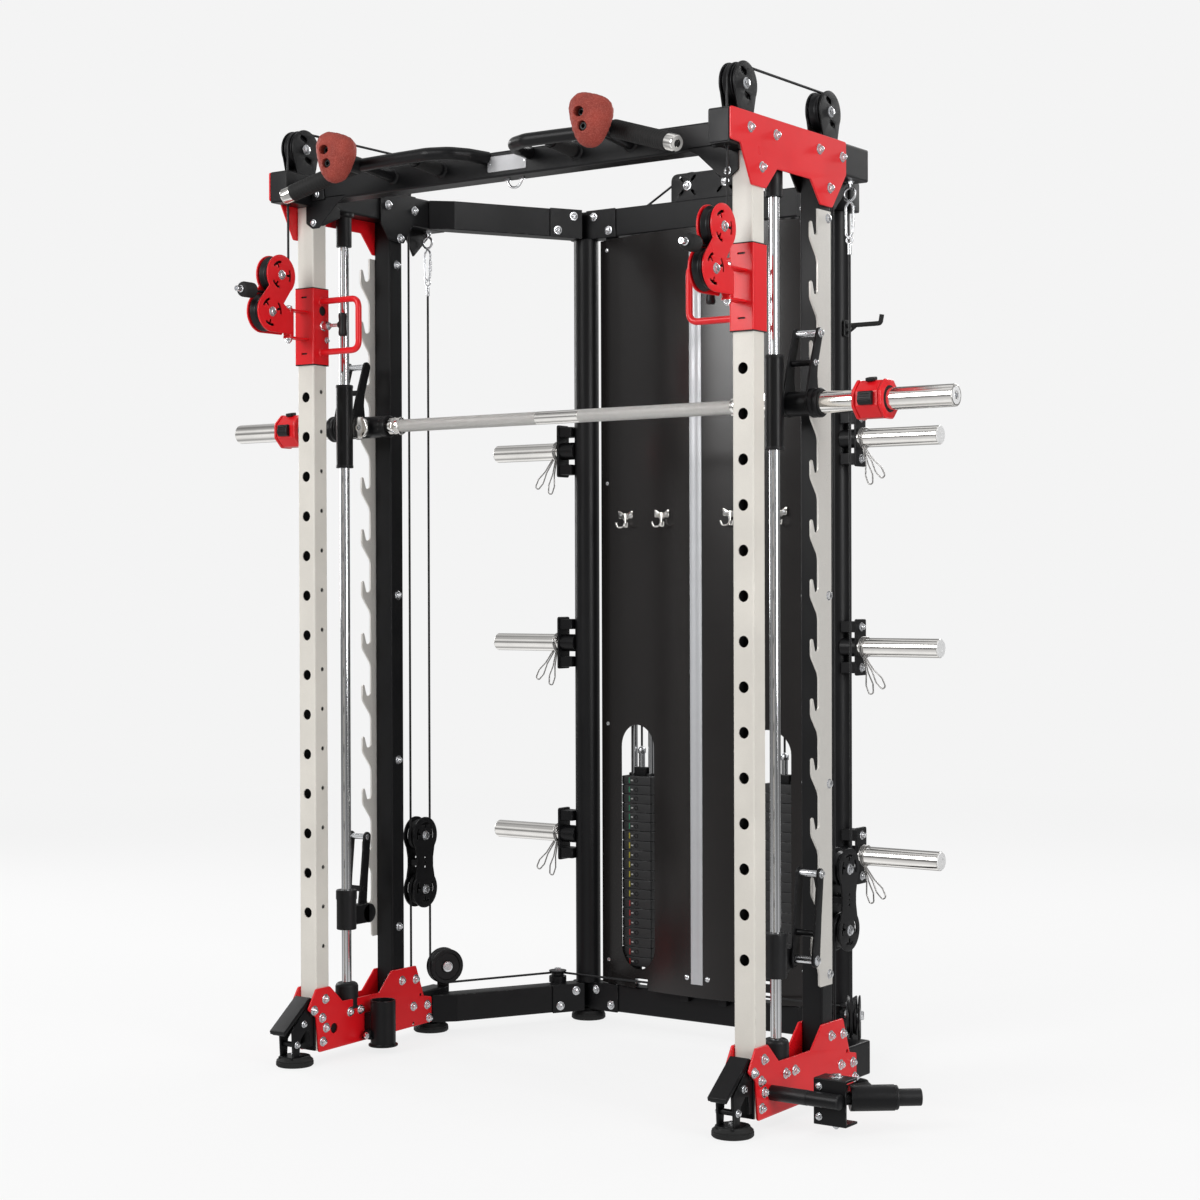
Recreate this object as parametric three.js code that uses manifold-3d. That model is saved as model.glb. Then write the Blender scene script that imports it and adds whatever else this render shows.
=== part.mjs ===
// A smith machine with two weight stacks: a rectangular steel frame, a barbell guided on two
// chrome rods, catch rails with hooks, sliding pulley carriages and a pull-up bar.
// Millimetres, +Z up, +X to the right of a person facing the machine, +Y towards its back.
import * as THREE from 'three';
import { mergeVertices } from 'three/addons/utils/BufferGeometryUtils.js';
import Module from 'manifold-3d';

const wasm = await Module();
wasm.setup();

// ---- driving dimensions ------------------------------------------------------------------
const HALF_SPAN = 645;        // side frame centre, from the middle of the machine
const TUBE_W = 54;            // frame tube, across the machine
const TUBE_D = 49;            // frame tube, front to back
const WALL = 2.5;             // frame tube wall
const GAP = 0.3;              // clearance between separate pieces that touch
const PLATE = 5;              // joining plates and catch rails
const BEAM_HALF = TUBE_W / 2 + GAP;
const BASE_Z = [36, 117];     // lower side beams
const REAR_Z = [29, 103];     // lower rear frame
const TOP_Z = [2155, 2232];   // upper side beams and upper rear frame
const BEAM_END_Y = 525;
const FRONT_Y = -97;          // front end of the upper side beams
const REAR_UPRIGHT_Y = 320.5;
const COLUMN = { x: 396, y: 870, r: 34, wall: 3 };
const REAR_BEAM_Y = [857, 907];
const FOOT = { r: 47, h: 24 };

const HOLE = { r: 13, z: 377, pitch: 100, count: 16 };       // through the front uprights
const SIDE_HOLE = { half: 5, y: 28, z: 291 };                // for the carriages' pop pins

const ROD = { x: 641, y: 141.5, r: 12.5, z: [182, 2071] };
const ROD_BORE = 12.9;
const RAIL = { front: 277, back: 336, tooth: 243, z: [279, 2060], tipZ: 2028.6, pitch: 135.8, teeth: 13 };
const RAIL_BOLTS = { y: 325, z: [2043, 1176, 743, 304] };
const BAR = { y: 199, z: 1610, end: 1064, sleeveR: 25, shaftR: 16, hubR: 28 };
const HOOK = { reach: 163.7, angle: 11.6, pinR: 8, x: [645, 705] };
const STOP = { y: 211, z: 352.5, reach: 195, angle: 6.2, x: [650, 704] };

const CABLE_R = 3;
const FRONT_CABLE_Y = -62;    // front run of the upper cable, which is also the swivel's axis
const SHEAVE = { rim: 47, groove: 39.5, wrap: 45.5, half: 12 };
const FLOAT_SHEAVE = { rim: 41, groove: 34.5, wrap: 40, half: 10 };
const REAR_SHEAVE = { rim: 37, groove: 31, wrap: 36.5, half: 10 };
const SHEAVE_BORE = 5.6;
const AXLE_R = 5;
const TOP_SHEAVE_Z = 2295;
const FRONT_SHEAVE_Y = FRONT_CABLE_Y + SHEAVE.wrap;
const BACK_SHEAVE_Y = 358;
const FLOAT = { y: BACK_SHEAVE_Y + SHEAVE.wrap + FLOAT_SHEAVE.wrap, z: [388, 532] };
const FLOAT_CABLE_Y = [FLOAT.y - FLOAT_SHEAVE.wrap, FLOAT.y + FLOAT_SHEAVE.wrap];
const EYE_Z = 2124;
const LINK_Z = 2003;          // where the upper cable ends in its snap link
const SWIVEL = { upper: [FRONT_CABLE_Y - SHEAVE.wrap, 1972], lower: [-141, 1878], plate: [16, 20], r: 50 };
const SWIVEL_BARREL_Z = [1825, 1888];
const CARRIAGE_Z = [1757, 1952];
const HANDLE = { reach: 155, r: 8, y: 25, z: [1790, 1918] };
const PIN_Z = 1856;
const LOW_TURN = 26.7;        // the low sheave's plane, from straight back towards the middle
const LOW_SHEAVE_Z = 171;
const LOW_RUN_Z = LOW_SHEAVE_Z - SHEAVE.wrap;
const REAR_RUN_Y = 830.5;
const CORNER_WRAP = 19.5;
const REAR_CABLE_Y = 887;
const TURN_SHEAVES = { low: [60, LOW_RUN_Z + REAR_SHEAVE.wrap], top: [60, 2272], stack: [189.5, 2200] };

const COAT_HOOK = { x: [108, 242], z: 1382, wing: 24, prong: 17 };
const SHROUD = { x: 342, y: 811, bow: 61, t: 3, z: [140, 2149] };
const WINDOW = { x: [142, 268], z: [158, 822] };
const STACK = { x: 226, y: [858, 926], half: 48, z: [160, 530, 680], pitch: 26, rodOffset: 28, rodR: 9 };
const HORN = { x: [475, 697], y: 856, r: 24, z: [510, 1041, 1573] };
const GRIP_Z = 2214;
const PEG = { y: 62, z: 78.5, end: 851 };

const RIGHT = 1;
const LEFT = -1;
const SIDES = [['left', LEFT], ['right', RIGHT]];
const radians = THREE.MathUtils.degToRad;
const BACK = [0, 1, 0];
const UP = [0, 0, 1];

// ---- materials ---------------------------------------------------------------------------
const paint = (color, roughness, metalness) => new THREE.MeshStandardMaterial({ color, roughness, metalness });
const BLACK = paint(0x1b1b1d, 0.45, 0.2);
const CREAM = paint(0xe9e5dd, 0.4, 0.05);
const RED = paint(0xc0161a, 0.4, 0.1);
const STEEL = paint(0xc9c5bf, 0.4, 0.9);
const CHROME = paint(0xd8d8da, 0.12, 1);
const SHEAVE_PLASTIC = paint(0x141416, 0.5, 0);
const RUBBER = paint(0x101010, 0.8, 0);
const CAST_IRON = paint(0x202022, 0.6, 0.4);
const HOLD_RED = paint(0xa02822, 0.6, 0);

// ---- solids ------------------------------------------------------------------------------
function solid(geometry) {
  const bare = geometry.clone();
  bare.deleteAttribute('normal');
  bare.deleteAttribute('uv');
  const merged = mergeVertices(bare, 1e-4);
  const vertProperties = new Float32Array(merged.attributes.position.array);
  const triVerts = new Uint32Array(merged.index.array);
  return new wasm.Manifold(new wasm.Mesh({ numProp: 3, vertProperties, triVerts }));
}

const join = (...solids) => solids.flat().reduce((a, b) => a.add(b));
const cut = (body, ...tools) => tools.flat().reduce((a, b) => a.subtract(b), body);

function geometryOf(body) {
  const { vertProperties, triVerts, numProp } = body.getMesh();
  const positions = new Float32Array(triVerts.length * 3);
  triVerts.forEach((v, i) => {
    for (let k = 0; k < 3; k += 1) positions[3 * i + k] = vertProperties[v * numProp + k];
  });
  const geometry = new THREE.BufferGeometry();
  geometry.setAttribute('position', new THREE.BufferAttribute(positions, 3));
  geometry.computeVertexNormals();
  return geometry;
}

// a box given by its ranges; a range may be written in either order
function box(xs, ys, zs) {
  const size = [xs, ys, zs].map(([a, b]) => Math.abs(b - a));
  const middle = [xs, ys, zs].map(([a, b]) => (a + b) / 2);
  return solid(new THREE.BoxGeometry(...size).translate(...middle));
}

// a round bar between two points
function rod(from, to, radius, sides = 10) {
  const a = new THREE.Vector3(...from);
  const b = new THREE.Vector3(...to);
  const along = b.clone().sub(a);
  const turn = new THREE.Quaternion().setFromUnitVectors(new THREE.Vector3(0, 1, 0), along.clone().normalize());
  const geometry = new THREE.CylinderGeometry(radius, radius, along.length(), sides);
  return solid(geometry.applyQuaternion(turn).translate(...a.add(b).multiplyScalar(0.5)));
}

function outline(points) {
  return new THREE.Shape(points.map(([u, v]) => new THREE.Vector2(u, v)));
}

// a flat plate whose outline is in (y, z), between two x values
function plateYZ(points, xs) {
  const depth = Math.abs(xs[1] - xs[0]);
  const geometry = new THREE.ExtrudeGeometry(outline(points), { depth, bevelEnabled: false });
  const basis = new THREE.Matrix4().makeBasis(
    new THREE.Vector3(0, 1, 0), new THREE.Vector3(0, 0, 1), new THREE.Vector3(1, 0, 0));
  return solid(geometry.applyMatrix4(basis).translate(Math.min(...xs), 0, 0));
}

// a flat plate whose outline is in (x, z), between two y values
function plateXZ(points, ys) {
  const depth = Math.abs(ys[1] - ys[0]);
  const geometry = new THREE.ExtrudeGeometry(outline(points), { depth, bevelEnabled: false });
  return solid(geometry.rotateX(Math.PI / 2).translate(0, Math.max(...ys), 0));
}

// a prism whose outline is in (x, y), between two z values
function plateXY(points, zs) {
  const geometry = new THREE.ExtrudeGeometry(outline(points), { depth: zs[1] - zs[0], bevelEnabled: false });
  return solid(geometry.translate(0, 0, zs[0]));
}

// a turned piece: profile of (radius, distance along the axis), closed or ending on the axis
function turned(profile, at, axis, sides = 12) {
  const geometry = new THREE.LatheGeometry(profile.map(([r, h]) => new THREE.Vector2(r, h)), sides);
  const turn = new THREE.Quaternion().setFromUnitVectors(
    new THREE.Vector3(0, 1, 0), new THREE.Vector3(...axis).normalize());
  return solid(geometry.applyQuaternion(turn).translate(...at));
}

// a run through given points, with one section at each of them
class Route extends THREE.Curve {
  constructor(points) {
    super();
    this.points = points.map((p) => new THREE.Vector3(...p));
  }

  getPoint(t, target = new THREE.Vector3()) {
    const last = this.points.length - 1;
    const place = Math.min(Math.max(t, 0), 1) * last;
    const index = Math.min(Math.floor(place), last - 1);
    return target.lerpVectors(this.points[index], this.points[index + 1], place - index);
  }

  getPointAt(u, target) {
    return this.getPoint(u, target);
  }

  getTangentAt(u, target = new THREE.Vector3()) {
    const last = this.points.length - 1;
    const index = Math.round(u * last);
    const before = this.points[Math.max(index - 1, 0)];
    const here = this.points[index];
    const after = this.points[Math.min(index + 1, last)];
    const incoming = here.clone().sub(before).normalize();
    const outgoing = after.clone().sub(here).normalize();
    return target.copy(incoming.add(outgoing)).normalize();
  }
}

function sweep(points, radius, sides = 6) {
  const section = outline(Array.from({ length: sides }, (_, i) => {
    const angle = (2 * Math.PI * i) / sides;
    return [radius * Math.cos(angle), radius * Math.sin(angle)];
  }));
  const extrudePath = new Route(points);
  return solid(new THREE.ExtrudeGeometry(section, { steps: points.length - 1, extrudePath }));
}

// points on an arc in the plane of u and v, about every 30 degrees; angles from u towards v
function arc(centre, u, v, radius, from, to) {
  const steps = Math.max(2, Math.round(Math.abs(to - from) / 30));
  return Array.from({ length: steps + 1 }, (_, i) => {
    const angle = radians(from + ((to - from) * i) / steps);
    const [a, b] = [radius * Math.cos(angle), radius * Math.sin(angle)];
    return centre.map((c, k) => c + a * u[k] + b * v[k]);
  });
}

const group = new THREE.Group();

function addPiece(name, body, material) {
  const mesh = new THREE.Mesh(geometryOf(body), material);
  mesh.name = name;
  group.add(mesh);
}

// x measured from a side frame's centre, positive away from the middle of the machine
const sideX = (side, out) => side * (HALF_SPAN + out);
const sideRange = (side, a, b) => [sideX(side, a), sideX(side, b)];

// a hexagon bolt head standing on a side frame's outer face
function hexBolt(side, face, y, z) {
  const headHeight = 6;
  const headRadius = 8.5;
  return rod([sideX(side, face - 1), y, z], [sideX(side, face + headHeight), y, z], headRadius, 6);
}

// the bolt that a cable wheel of a side frame turns on
function axle(side, half, y, z) {
  return rod([sideX(side, -half), y, z], [sideX(side, half), y, z], AXLE_R, 10);
}

// a grooved cable wheel with a plain bore
function sheave(size, at, axis) {
  const { rim, groove, half } = size;
  const edge = [[rim, -half], [groove, 0], [rim, half]];
  const profile = [[SHEAVE_BORE, -half], ...edge, [SHEAVE_BORE, half], [SHEAVE_BORE, -half]];
  return turned(profile, at, axis, 12);
}

// ---- base --------------------------------------------------------------------------------
const BASE_PLATE = [[4, 26], [-5, 115], [-35, 139], [-5, 187], [47, 187], [95, 142], [238, 142],
  [287, 192], [386, 192], [418, 107], [450, 101], [450, 33]];
const INWARD_BACK = (side) => [-side * Math.sin(radians(LOW_TURN)), Math.cos(radians(LOW_TURN)), 0];

function lowSheaveAt(side, along = 0) {
  const way = INWARD_BACK(side);
  const axis = [side * way[1], side * -way[0], 0];
  const base = [side * HALF_SPAN, FLOAT_CABLE_Y[1], LOW_SHEAVE_Z];
  return base.map((c, k) => c + way[k] * SHEAVE.wrap + axis[k] * along);
}

function footDisc(x, y) {
  const profile = [[0, 0], [FOOT.r, 0], [FOOT.r, 15], [FOOT.r - 8, FOOT.h], [0, FOOT.h]];
  return turned(profile, [x, y, 0], UP);
}

function frontFoot(side) {
  const cover = [[-0.5, 158], [-22, 168], [-116, 94], [-108, 82], [-80, 92], [-78, 20], [-0.5, 20]];
  const bracket = plateYZ(cover, sideRange(side, -24, 24));
  const arch = box(sideRange(side, -12, 12), [-90, -20], [22, 76]);
  const heel = box(sideRange(side, -26, 26), [-20, 1], [10, 44]);
  const yoke = box(sideRange(side, -BEAM_HALF - 1, BEAM_HALF + 1), [-22, -0.5], [122, 150]);
  return join(cut(bracket, arch, heel), yoke, footDisc(side * HALF_SPAN, -50));
}

function lowSheaveBracket(side) {
  const faces = [lowSheaveAt(side, 15), lowSheaveAt(side, 20)];
  const cheek = rod(...faces, 48, 14);
  const way = INWARD_BACK(side);
  const strapHalf = 15;
  const corner = (point, shift) => [point[0] + way[0] * shift, point[1] + way[1] * shift];
  const [near, far] = faces.map((point) => [corner(point, -strapHalf), corner(point, strapHalf)]);
  const strap = plateXY([near[0], near[1], far[1], far[0]], [30, LOW_SHEAVE_Z]);
  const bolt = rod(lowSheaveAt(side, -18), lowSheaveAt(side, 24), AXLE_R, 10);
  const cap = rod(lowSheaveAt(side, -18), lowSheaveAt(side, -14), 14, 12);
  return join(cheek, strap, bolt, cap);
}

function baseSide(side) {
  const beamX = sideRange(side, -BEAM_HALF, BEAM_HALF);
  const boreX = sideRange(side, -BEAM_HALF + WALL, BEAM_HALF - WALL);
  const beam = box(beamX, [TUBE_D + GAP, BEAM_END_Y], BASE_Z);
  const bore = box(boreX, [TUBE_D - 1, BEAM_END_Y + 1], [BASE_Z[0] + WALL, BASE_Z[1] - WALL]);
  const socket = turned([[0, BASE_Z[1] - 1], [30, BASE_Z[1] - 1], [30, 176], [26, ROD.z[0]], [0, ROD.z[0]]],
    [side * ROD.x, ROD.y, 0], UP, 12);
  const pegHole = rod([sideX(side, -50), PEG.y, PEG.z], [sideX(side, -20), PEG.y, PEG.z], HOLE.r, 12);
  const plates = [-1, 1].map((face) => {
    const xs = sideRange(side, face * (BEAM_HALF - 0.1), face * (BEAM_HALF + PLATE));
    return plateYZ(BASE_PLATE, xs);
  });
  const rearLeg = rod([side * HALF_SPAN, 486, FOOT.h - 1], [side * HALF_SPAN, 486, BASE_Z[0] + 1], 16, 12);
  const feet = [footDisc(side * HALF_SPAN, 486), rearLeg, frontFoot(side)];
  return join(cut(join(cut(beam, bore), plates), pegHole), socket, feet, lowSheaveBracket(side));
}

// a vertical cup that holds a spare bar on end, clamped to the left side frame
function barCup() {
  const at = [-569, 200, 0];
  const [wall, bore, top] = [32.5, 29, 134];
  const cup = turned([[0, 16], [38, 16], [38, 21], [wall, 21], [wall, top], [bore, top], [bore, 24], [0, 24]], at, UP);
  const clamp = box(sideRange(LEFT, -BEAM_HALF - PLATE + 1, -46), [185, 215], [40, 100]);
  const bolt = rod([-590, 150, 46], [-590, 165, 46], 6, 8);
  const ear = box([-612.7, -574], [158, 170], [36, 56]);
  return join(cup, clamp, ear, bolt);
}

// where a barbell sleeve is plugged in for angled presses: a peg, a clevis and a turning tube
const CLEVIS = { x: [775, 855], y: [79, 130], z: [20, 122], pin: [815, 106] };

function landmineBracket() {
  const peg = rod([sideX(RIGHT, BEAM_HALF), PEG.y, PEG.z], [PEG.end, PEG.y, PEG.z], 17);
  const web = box(CLEVIS.x, [CLEVIS.y[0] - 3, CLEVIS.y[0] + 3], CLEVIS.z);
  const [bottom, top] = CLEVIS.z;
  const flanges = [[bottom, bottom + 6], [top - 6, top]].map((zs) => box(CLEVIS.x, CLEVIS.y, zs));
  const pin = rod([...CLEVIS.pin, bottom - 10], [...CLEVIS.pin, top + 8], 7, 12);
  return join(peg, web, flanges, pin);
}

function landmineArm() {
  const [x, y] = CLEVIS.pin;
  const barrel = rod([x, y, CLEVIS.z[0] + 8], [x, y, CLEVIS.z[1] - 8], 19);
  const pinBore = rod([x, y, 0], [x, y, 140], 7.6, 12);
  const tube = rod([838, 125, 75], [916, 187, 75], 28.5, 14);
  const neck = rod([822, 112, 75], [840, 127, 75], 16);
  const end = rod([905, 178, 75], [965, 226, 75], 19);
  const tubeBore = rod([886, 163, 75], [990, 246, 75], 14);
  return cut(join(barrel, neck, tube, end), pinBore, tubeBore);
}

// ---- uprights, rails and rods ------------------------------------------------------------
function frontUpright(side) {
  const tube = box(sideRange(side, -TUBE_W / 2, TUBE_W / 2), [0, TUBE_D], [30, TOP_Z[0] - GAP]);
  const boreX = sideRange(side, -TUBE_W / 2 + WALL, TUBE_W / 2 - WALL);
  const bore = box(boreX, [WALL, TUBE_D - WALL], [29, TOP_Z[0]]);
  const holes = Array.from({ length: HOLE.count }, (_, i) => {
    const z = HOLE.z + HOLE.pitch * i;
    return rod([side * HALF_SPAN, -1, z], [side * HALF_SPAN, TUBE_D + 1, z], HOLE.r, 6);
  });
  const sideHoles = Array.from({ length: HOLE.count + 1 }, (_, i) => {
    const z = SIDE_HOLE.z + HOLE.pitch * i;
    const ys = [SIDE_HOLE.y - SIDE_HOLE.half, SIDE_HOLE.y + SIDE_HOLE.half];
    return box(sideRange(side, -TUBE_W / 2 - 1, -TUBE_W / 2 + 4), ys, [z - SIDE_HOLE.half, z + SIDE_HOLE.half]);
  });
  return cut(tube, bore, holes, sideHoles);
}

// the catch rail's outline: a strip with upward teeth on its front edge
function railOutline() {
  const { front, back, tooth } = RAIL;
  const points = [[back, RAIL.z[0]], [back, RAIL.z[1]], [front, RAIL.z[1]]];
  for (let i = 0; i < RAIL.teeth; i += 1) {
    const tip = RAIL.tipZ - RAIL.pitch * i;
    points.push([front, tip - 24], [front - 6, tip - 30], [tooth + 6, tip], [tooth, tip - 3]);
    points.push([tooth, tip - 38], [front, tip - 86]);
  }
  points.push([front, RAIL.z[0]]);
  return points;
}

function rearUpright(side) {
  const ys = [REAR_UPRIGHT_Y - TUBE_D / 2, REAR_UPRIGHT_Y + TUBE_D / 2];
  const zs = [BASE_Z[1] + GAP, TOP_Z[0] - GAP];
  const tube = box(sideRange(side, -TUBE_W / 2, TUBE_W / 2), ys, zs);
  const bore = box(sideRange(side, -TUBE_W / 2 + WALL, TUBE_W / 2 - WALL), [ys[0] + WALL, ys[1] - WALL],
    [zs[0] - 1, zs[1] + 1]);
  const rail = plateYZ(railOutline(), sideRange(side, TUBE_W / 2 - 0.1, TUBE_W / 2 + PLATE));
  const bolts = RAIL_BOLTS.z.map((z) => hexBolt(side, TUBE_W / 2 + PLATE, RAIL_BOLTS.y, z));
  return join(cut(tube, bore), rail, bolts);
}

function guideRod(side) {
  const [low, high] = ROD.z;
  return rod([side * ROD.x, ROD.y, low + GAP], [side * ROD.x, ROD.y, high - GAP], ROD.r);
}

// ---- top ---------------------------------------------------------------------------------
const TOP_PLATE = [[FRONT_Y, 2232], [FRONT_Y, 2161], [-57, 2159], [-11, 2074], [49, 2074], [97, 2123],
  [246, 2123], [291, 2071], [345, 2071], [410, 2155], [410, 2232]];
const TOP_GUSSET = [[255, 2232], [255, 2148], [290, 2106], [347, 2103], [385, 2154], [400, 2232]];
const REAR_GUSSET = [[413, 2156], [413, 2145], [452, 2085], [525, 2151], [525, 2156]];

function sheaveCheeks(side, y) {
  const crown = arc([0, y, TOP_SHEAVE_Z], BACK, UP, 49, -30, 210).map((p) => p.slice(1));
  const cheek = (xs) => plateYZ([[y - 32, TOP_Z[1] - 1], [y + 32, TOP_Z[1] - 1], ...crown], xs);
  const pair = [-1, 1].map((face) => cheek(sideRange(side, face * 16, face * 20)));
  return join(pair, axle(side, 26, y, TOP_SHEAVE_Z));
}

function cableEye(side) {
  const x = side * HALF_SPAN;
  const y = FLOAT_CABLE_Y[1];
  const ring = solid(new THREE.TorusGeometry(15, 3, 4, 10).rotateX(Math.PI / 2).translate(x, y, EYE_Z));
  return join(ring, rod([x, y, EYE_Z + 13], [x, y, TOP_Z[0] + 1], 4, 8));
}

function topSide(side) {
  const beam = box(sideRange(side, -BEAM_HALF, BEAM_HALF), [FRONT_Y, BEAM_END_Y], TOP_Z);
  const bore = box(sideRange(side, -BEAM_HALF + WALL, BEAM_HALF - WALL), [FRONT_Y - 1, BEAM_END_Y + 1],
    [TOP_Z[0] + WALL, TOP_Z[1] - WALL]);
  const outer = plateYZ(TOP_PLATE, sideRange(side, BEAM_HALF - 0.1, BEAM_HALF + PLATE));
  const inner = plateYZ(TOP_GUSSET, sideRange(side, -BEAM_HALF + 0.1, -BEAM_HALF - PLATE));
  const rearGusset = plateYZ(REAR_GUSSET, sideRange(side, -BEAM_HALF, -BEAM_HALF + PLATE));
  const socket = rod([side * ROD.x, ROD.y, ROD.z[1]], [side * ROD.x, ROD.y, TOP_Z[0] + 1], 20);
  const cheeks = [FRONT_SHEAVE_Y, BACK_SHEAVE_Y].map((y) => sheaveCheeks(side, y));
  const cableHoles = [FRONT_CABLE_Y, FLOAT_CABLE_Y[0]].map((y) => {
    const x = side * HALF_SPAN;
    return rod([x, y, TOP_Z[0] - 1], [x, y, TOP_Z[1] + 1], 7, 8);
  });
  return join(cut(beam, bore, cableHoles), outer, inner, rearGusset, socket, cableEye(side), cheeks);
}

// ---- pull-up bar -------------------------------------------------------------------------
const PULLUP = { x: HALF_SPAN - BEAM_HALF - GAP, y: [-5, 55], z: [2165, 2226] };
const HOLD = { x: 372, y: -158, z: 2222 };

function gripLoop(side) {
  const path = [[62, -3], [72, -60], [96, -104], [145, -126], [237, -120], [363, -110], [384, -112]];
  const end = [552, -148, 2160];
  const loop = sweep(path.map(([x, y]) => [side * x, y, GRIP_Z]), 16, 8);
  const sleeve = rod([side * 380, -111, GRIP_Z + 1], [side * end[0], end[1], end[2]], 21);
  const cap = rod([side * end[0], end[1], end[2]], [side * 580, -155, 2151], 19);
  const neutral = rod([side * 200, 0, GRIP_Z - 14], [side * 200, -122, GRIP_Z - 2], 15);
  const strut = rod([side * 352, 0, GRIP_Z - 14], [side * 352, -112, GRIP_Z - 2], 15);
  const boss = rod([side * HOLD.x, -105, GRIP_Z], [side * HOLD.x, HOLD.y + 2, GRIP_Z + 4], 20);
  return join(loop, sleeve, cap, neutral, strut, boss);
}

function pullupGusset(side) {
  const fold = [[-5, 2190], [2, 2108], [35, 2110], [96, 2137], [96, 2160], [55, 2190]];
  return plateYZ(fold, [side * (PULLUP.x - PLATE), side * PULLUP.x]);
}

function pullupBar() {
  const tube = box([-PULLUP.x, PULLUP.x], PULLUP.y, PULLUP.z);
  const bore = box([-PULLUP.x - 1, PULLUP.x + 1], [PULLUP.y[0] + WALL, PULLUP.y[1] - WALL],
    [PULLUP.z[0] + WALL, PULLUP.z[1] - WALL]);
  const plate = box([-57, 57], [PULLUP.y[0] - 2, PULLUP.y[0] + 1], [2178, 2215]);
  const ringAt = [0, 25, PULLUP.z[0] - 2];
  const ring = solid(new THREE.TorusGeometry(21, 3, 4, 12).rotateX(Math.PI / 2).translate(...ringAt));
  const inside = box([-40, 40], [0, 50], [PULLUP.z[0] + 1, PULLUP.z[1] - 1]);
  const sides = SIDES.map(([, side]) => [gripLoop(side), pullupGusset(side)]).flat();
  return join(cut(join(tube, sides), bore), cut(plate, bore), cut(ring, inside));
}

function climbingHold(side) {
  const profile = [[0, 0], [40, 0], [52, 22], [48, 52], [30, 76], [0, 84]];
  const body = turned(profile, [0, 0, 0], [0, -1, 0], 16);
  const hole = (x, z, r) => rod([x, -30, z], [x, -100, z], r, 12);
  const shaped = cut(body.scale([1, 1, 1.15]), hole(0, 18, 12), hole(4, -22, 10));
  return shaped.translate([side * HOLD.x, HOLD.y, HOLD.z]);
}

// ---- rear frame --------------------------------------------------------------------------
const REAR_WHEEL = [[0, -10], [37, -10], [32, 0], [37, 10], [0, 10]];
const REAR_DIAGONAL = [[617.4, 452], [617.4, 523], [431.6, 858], [384.4, 832], [566.4, 502]];
const DIAGONAL_BORE = [[618, 462], [618, 506], [446, 823], [405, 806], [570, 508]];

function rearRing(zs) {
  const beam = box([-440, 440], REAR_BEAM_Y, zs);
  const bore = box([-360, 360], [REAR_BEAM_Y[0] + WALL, REAR_BEAM_Y[1] - WALL], [zs[0] + WALL, zs[1] - WALL]);
  const diagonals = SIDES.map(([, side]) => {
    const place = (points) => points.map(([x, y]) => [side * x, y]);
    return cut(plateXY(place(REAR_DIAGONAL), zs), plateXY(place(DIAGONAL_BORE), [zs[0] + WALL, zs[1] - WALL]));
  });
  return cut(join(beam, diagonals), bore);
}

function cornerRoller(side) {
  const way = INWARD_BACK(side);
  const start = lowSheaveAt(side);
  const y = REAR_RUN_Y - CORNER_WRAP;
  const reach = (y + CORNER_WRAP * way[0] * -side - start[1]) / way[1];
  return [start[0] + way[0] * reach - side * CORNER_WRAP * way[1], y];
}

function rearBottomFrame() {
  const drain = rod([0, REAR_CABLE_Y, 20], [0, REAR_CABLE_Y, 40], 6, 8);
  const perSide = SIDES.map(([, side]) => {
    const foot = join(footDisc(side * COLUMN.x, COLUMN.y),
      rod([side * COLUMN.x, COLUMN.y, FOOT.h - 1], [side * COLUMN.x, COLUMN.y, REAR_Z[0] + 1], COLUMN.r, 14));
    const roller = cornerRoller(side);
    const spool = [[0, 97], [24, 97], [24, 116], [15, LOW_RUN_Z], [24, 136], [0, 136]];
    const corner = turned(spool, [...roller, 0], UP, 10);
    const [x, z] = TURN_SHEAVES.low;
    const wheel = turned(REAR_WHEEL, [side * x, REAR_RUN_Y, z], BACK, 12);
    const bracket = box([side * (x - 12), side * (x + 12)], [REAR_RUN_Y + 9, REAR_BEAM_Y[0] + 1], [80, z + 12]);
    return join(foot, corner, wheel, bracket);
  });
  return cut(join(rearRing(REAR_Z), perSide), drain);
}

function rearTopFrame() {
  const perSide = SIDES.map(([, side]) => {
    const wheelAt = ([x, z]) => turned(REAR_WHEEL, [side * x, REAR_CABLE_Y, z], BACK, 12);
    const boltAt = ([x, z], ys) => rod([side * x, ys[0], z], [side * x, ys[1], z], 6, 8);
    const inBeam = boltAt(TURN_SHEAVES.stack, [REAR_BEAM_Y[0] + 1, REAR_BEAM_Y[1] - 1]);
    const inPlates = boltAt(TURN_SHEAVES.top, [864, 908]);
    return join(wheelAt(TURN_SHEAVES.top), wheelAt(TURN_SHEAVES.stack), inBeam, inPlates);
  });
  const slots = SIDES.map(([, side]) => [
    box([side * 16, side * 31], [REAR_CABLE_Y - 8, REAR_CABLE_Y + 8], [TOP_Z[0] - 1, TOP_Z[1] + 1]),
    box([side * 140, side * 236], [REAR_CABLE_Y - 12, REAR_CABLE_Y + 12], [TOP_Z[1] - 10, TOP_Z[1] + 10]),
    box([side * 148, side * 234], [REAR_CABLE_Y - 12, REAR_CABLE_Y + 12], [TOP_Z[0] - 2, TOP_Z[0] + 10]),
  ]).flat();
  const outlineXZ = [[-112, 2231], [-112, 2290], [-96, 2306], [96, 2306], [112, 2290], [112, 2231]];
  const plates = [[867, 871], [903, 907]].map((ys) => plateXZ(outlineXZ, ys));
  return join(cut(rearRing(TOP_Z), slots), plates, perSide);
}

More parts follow.
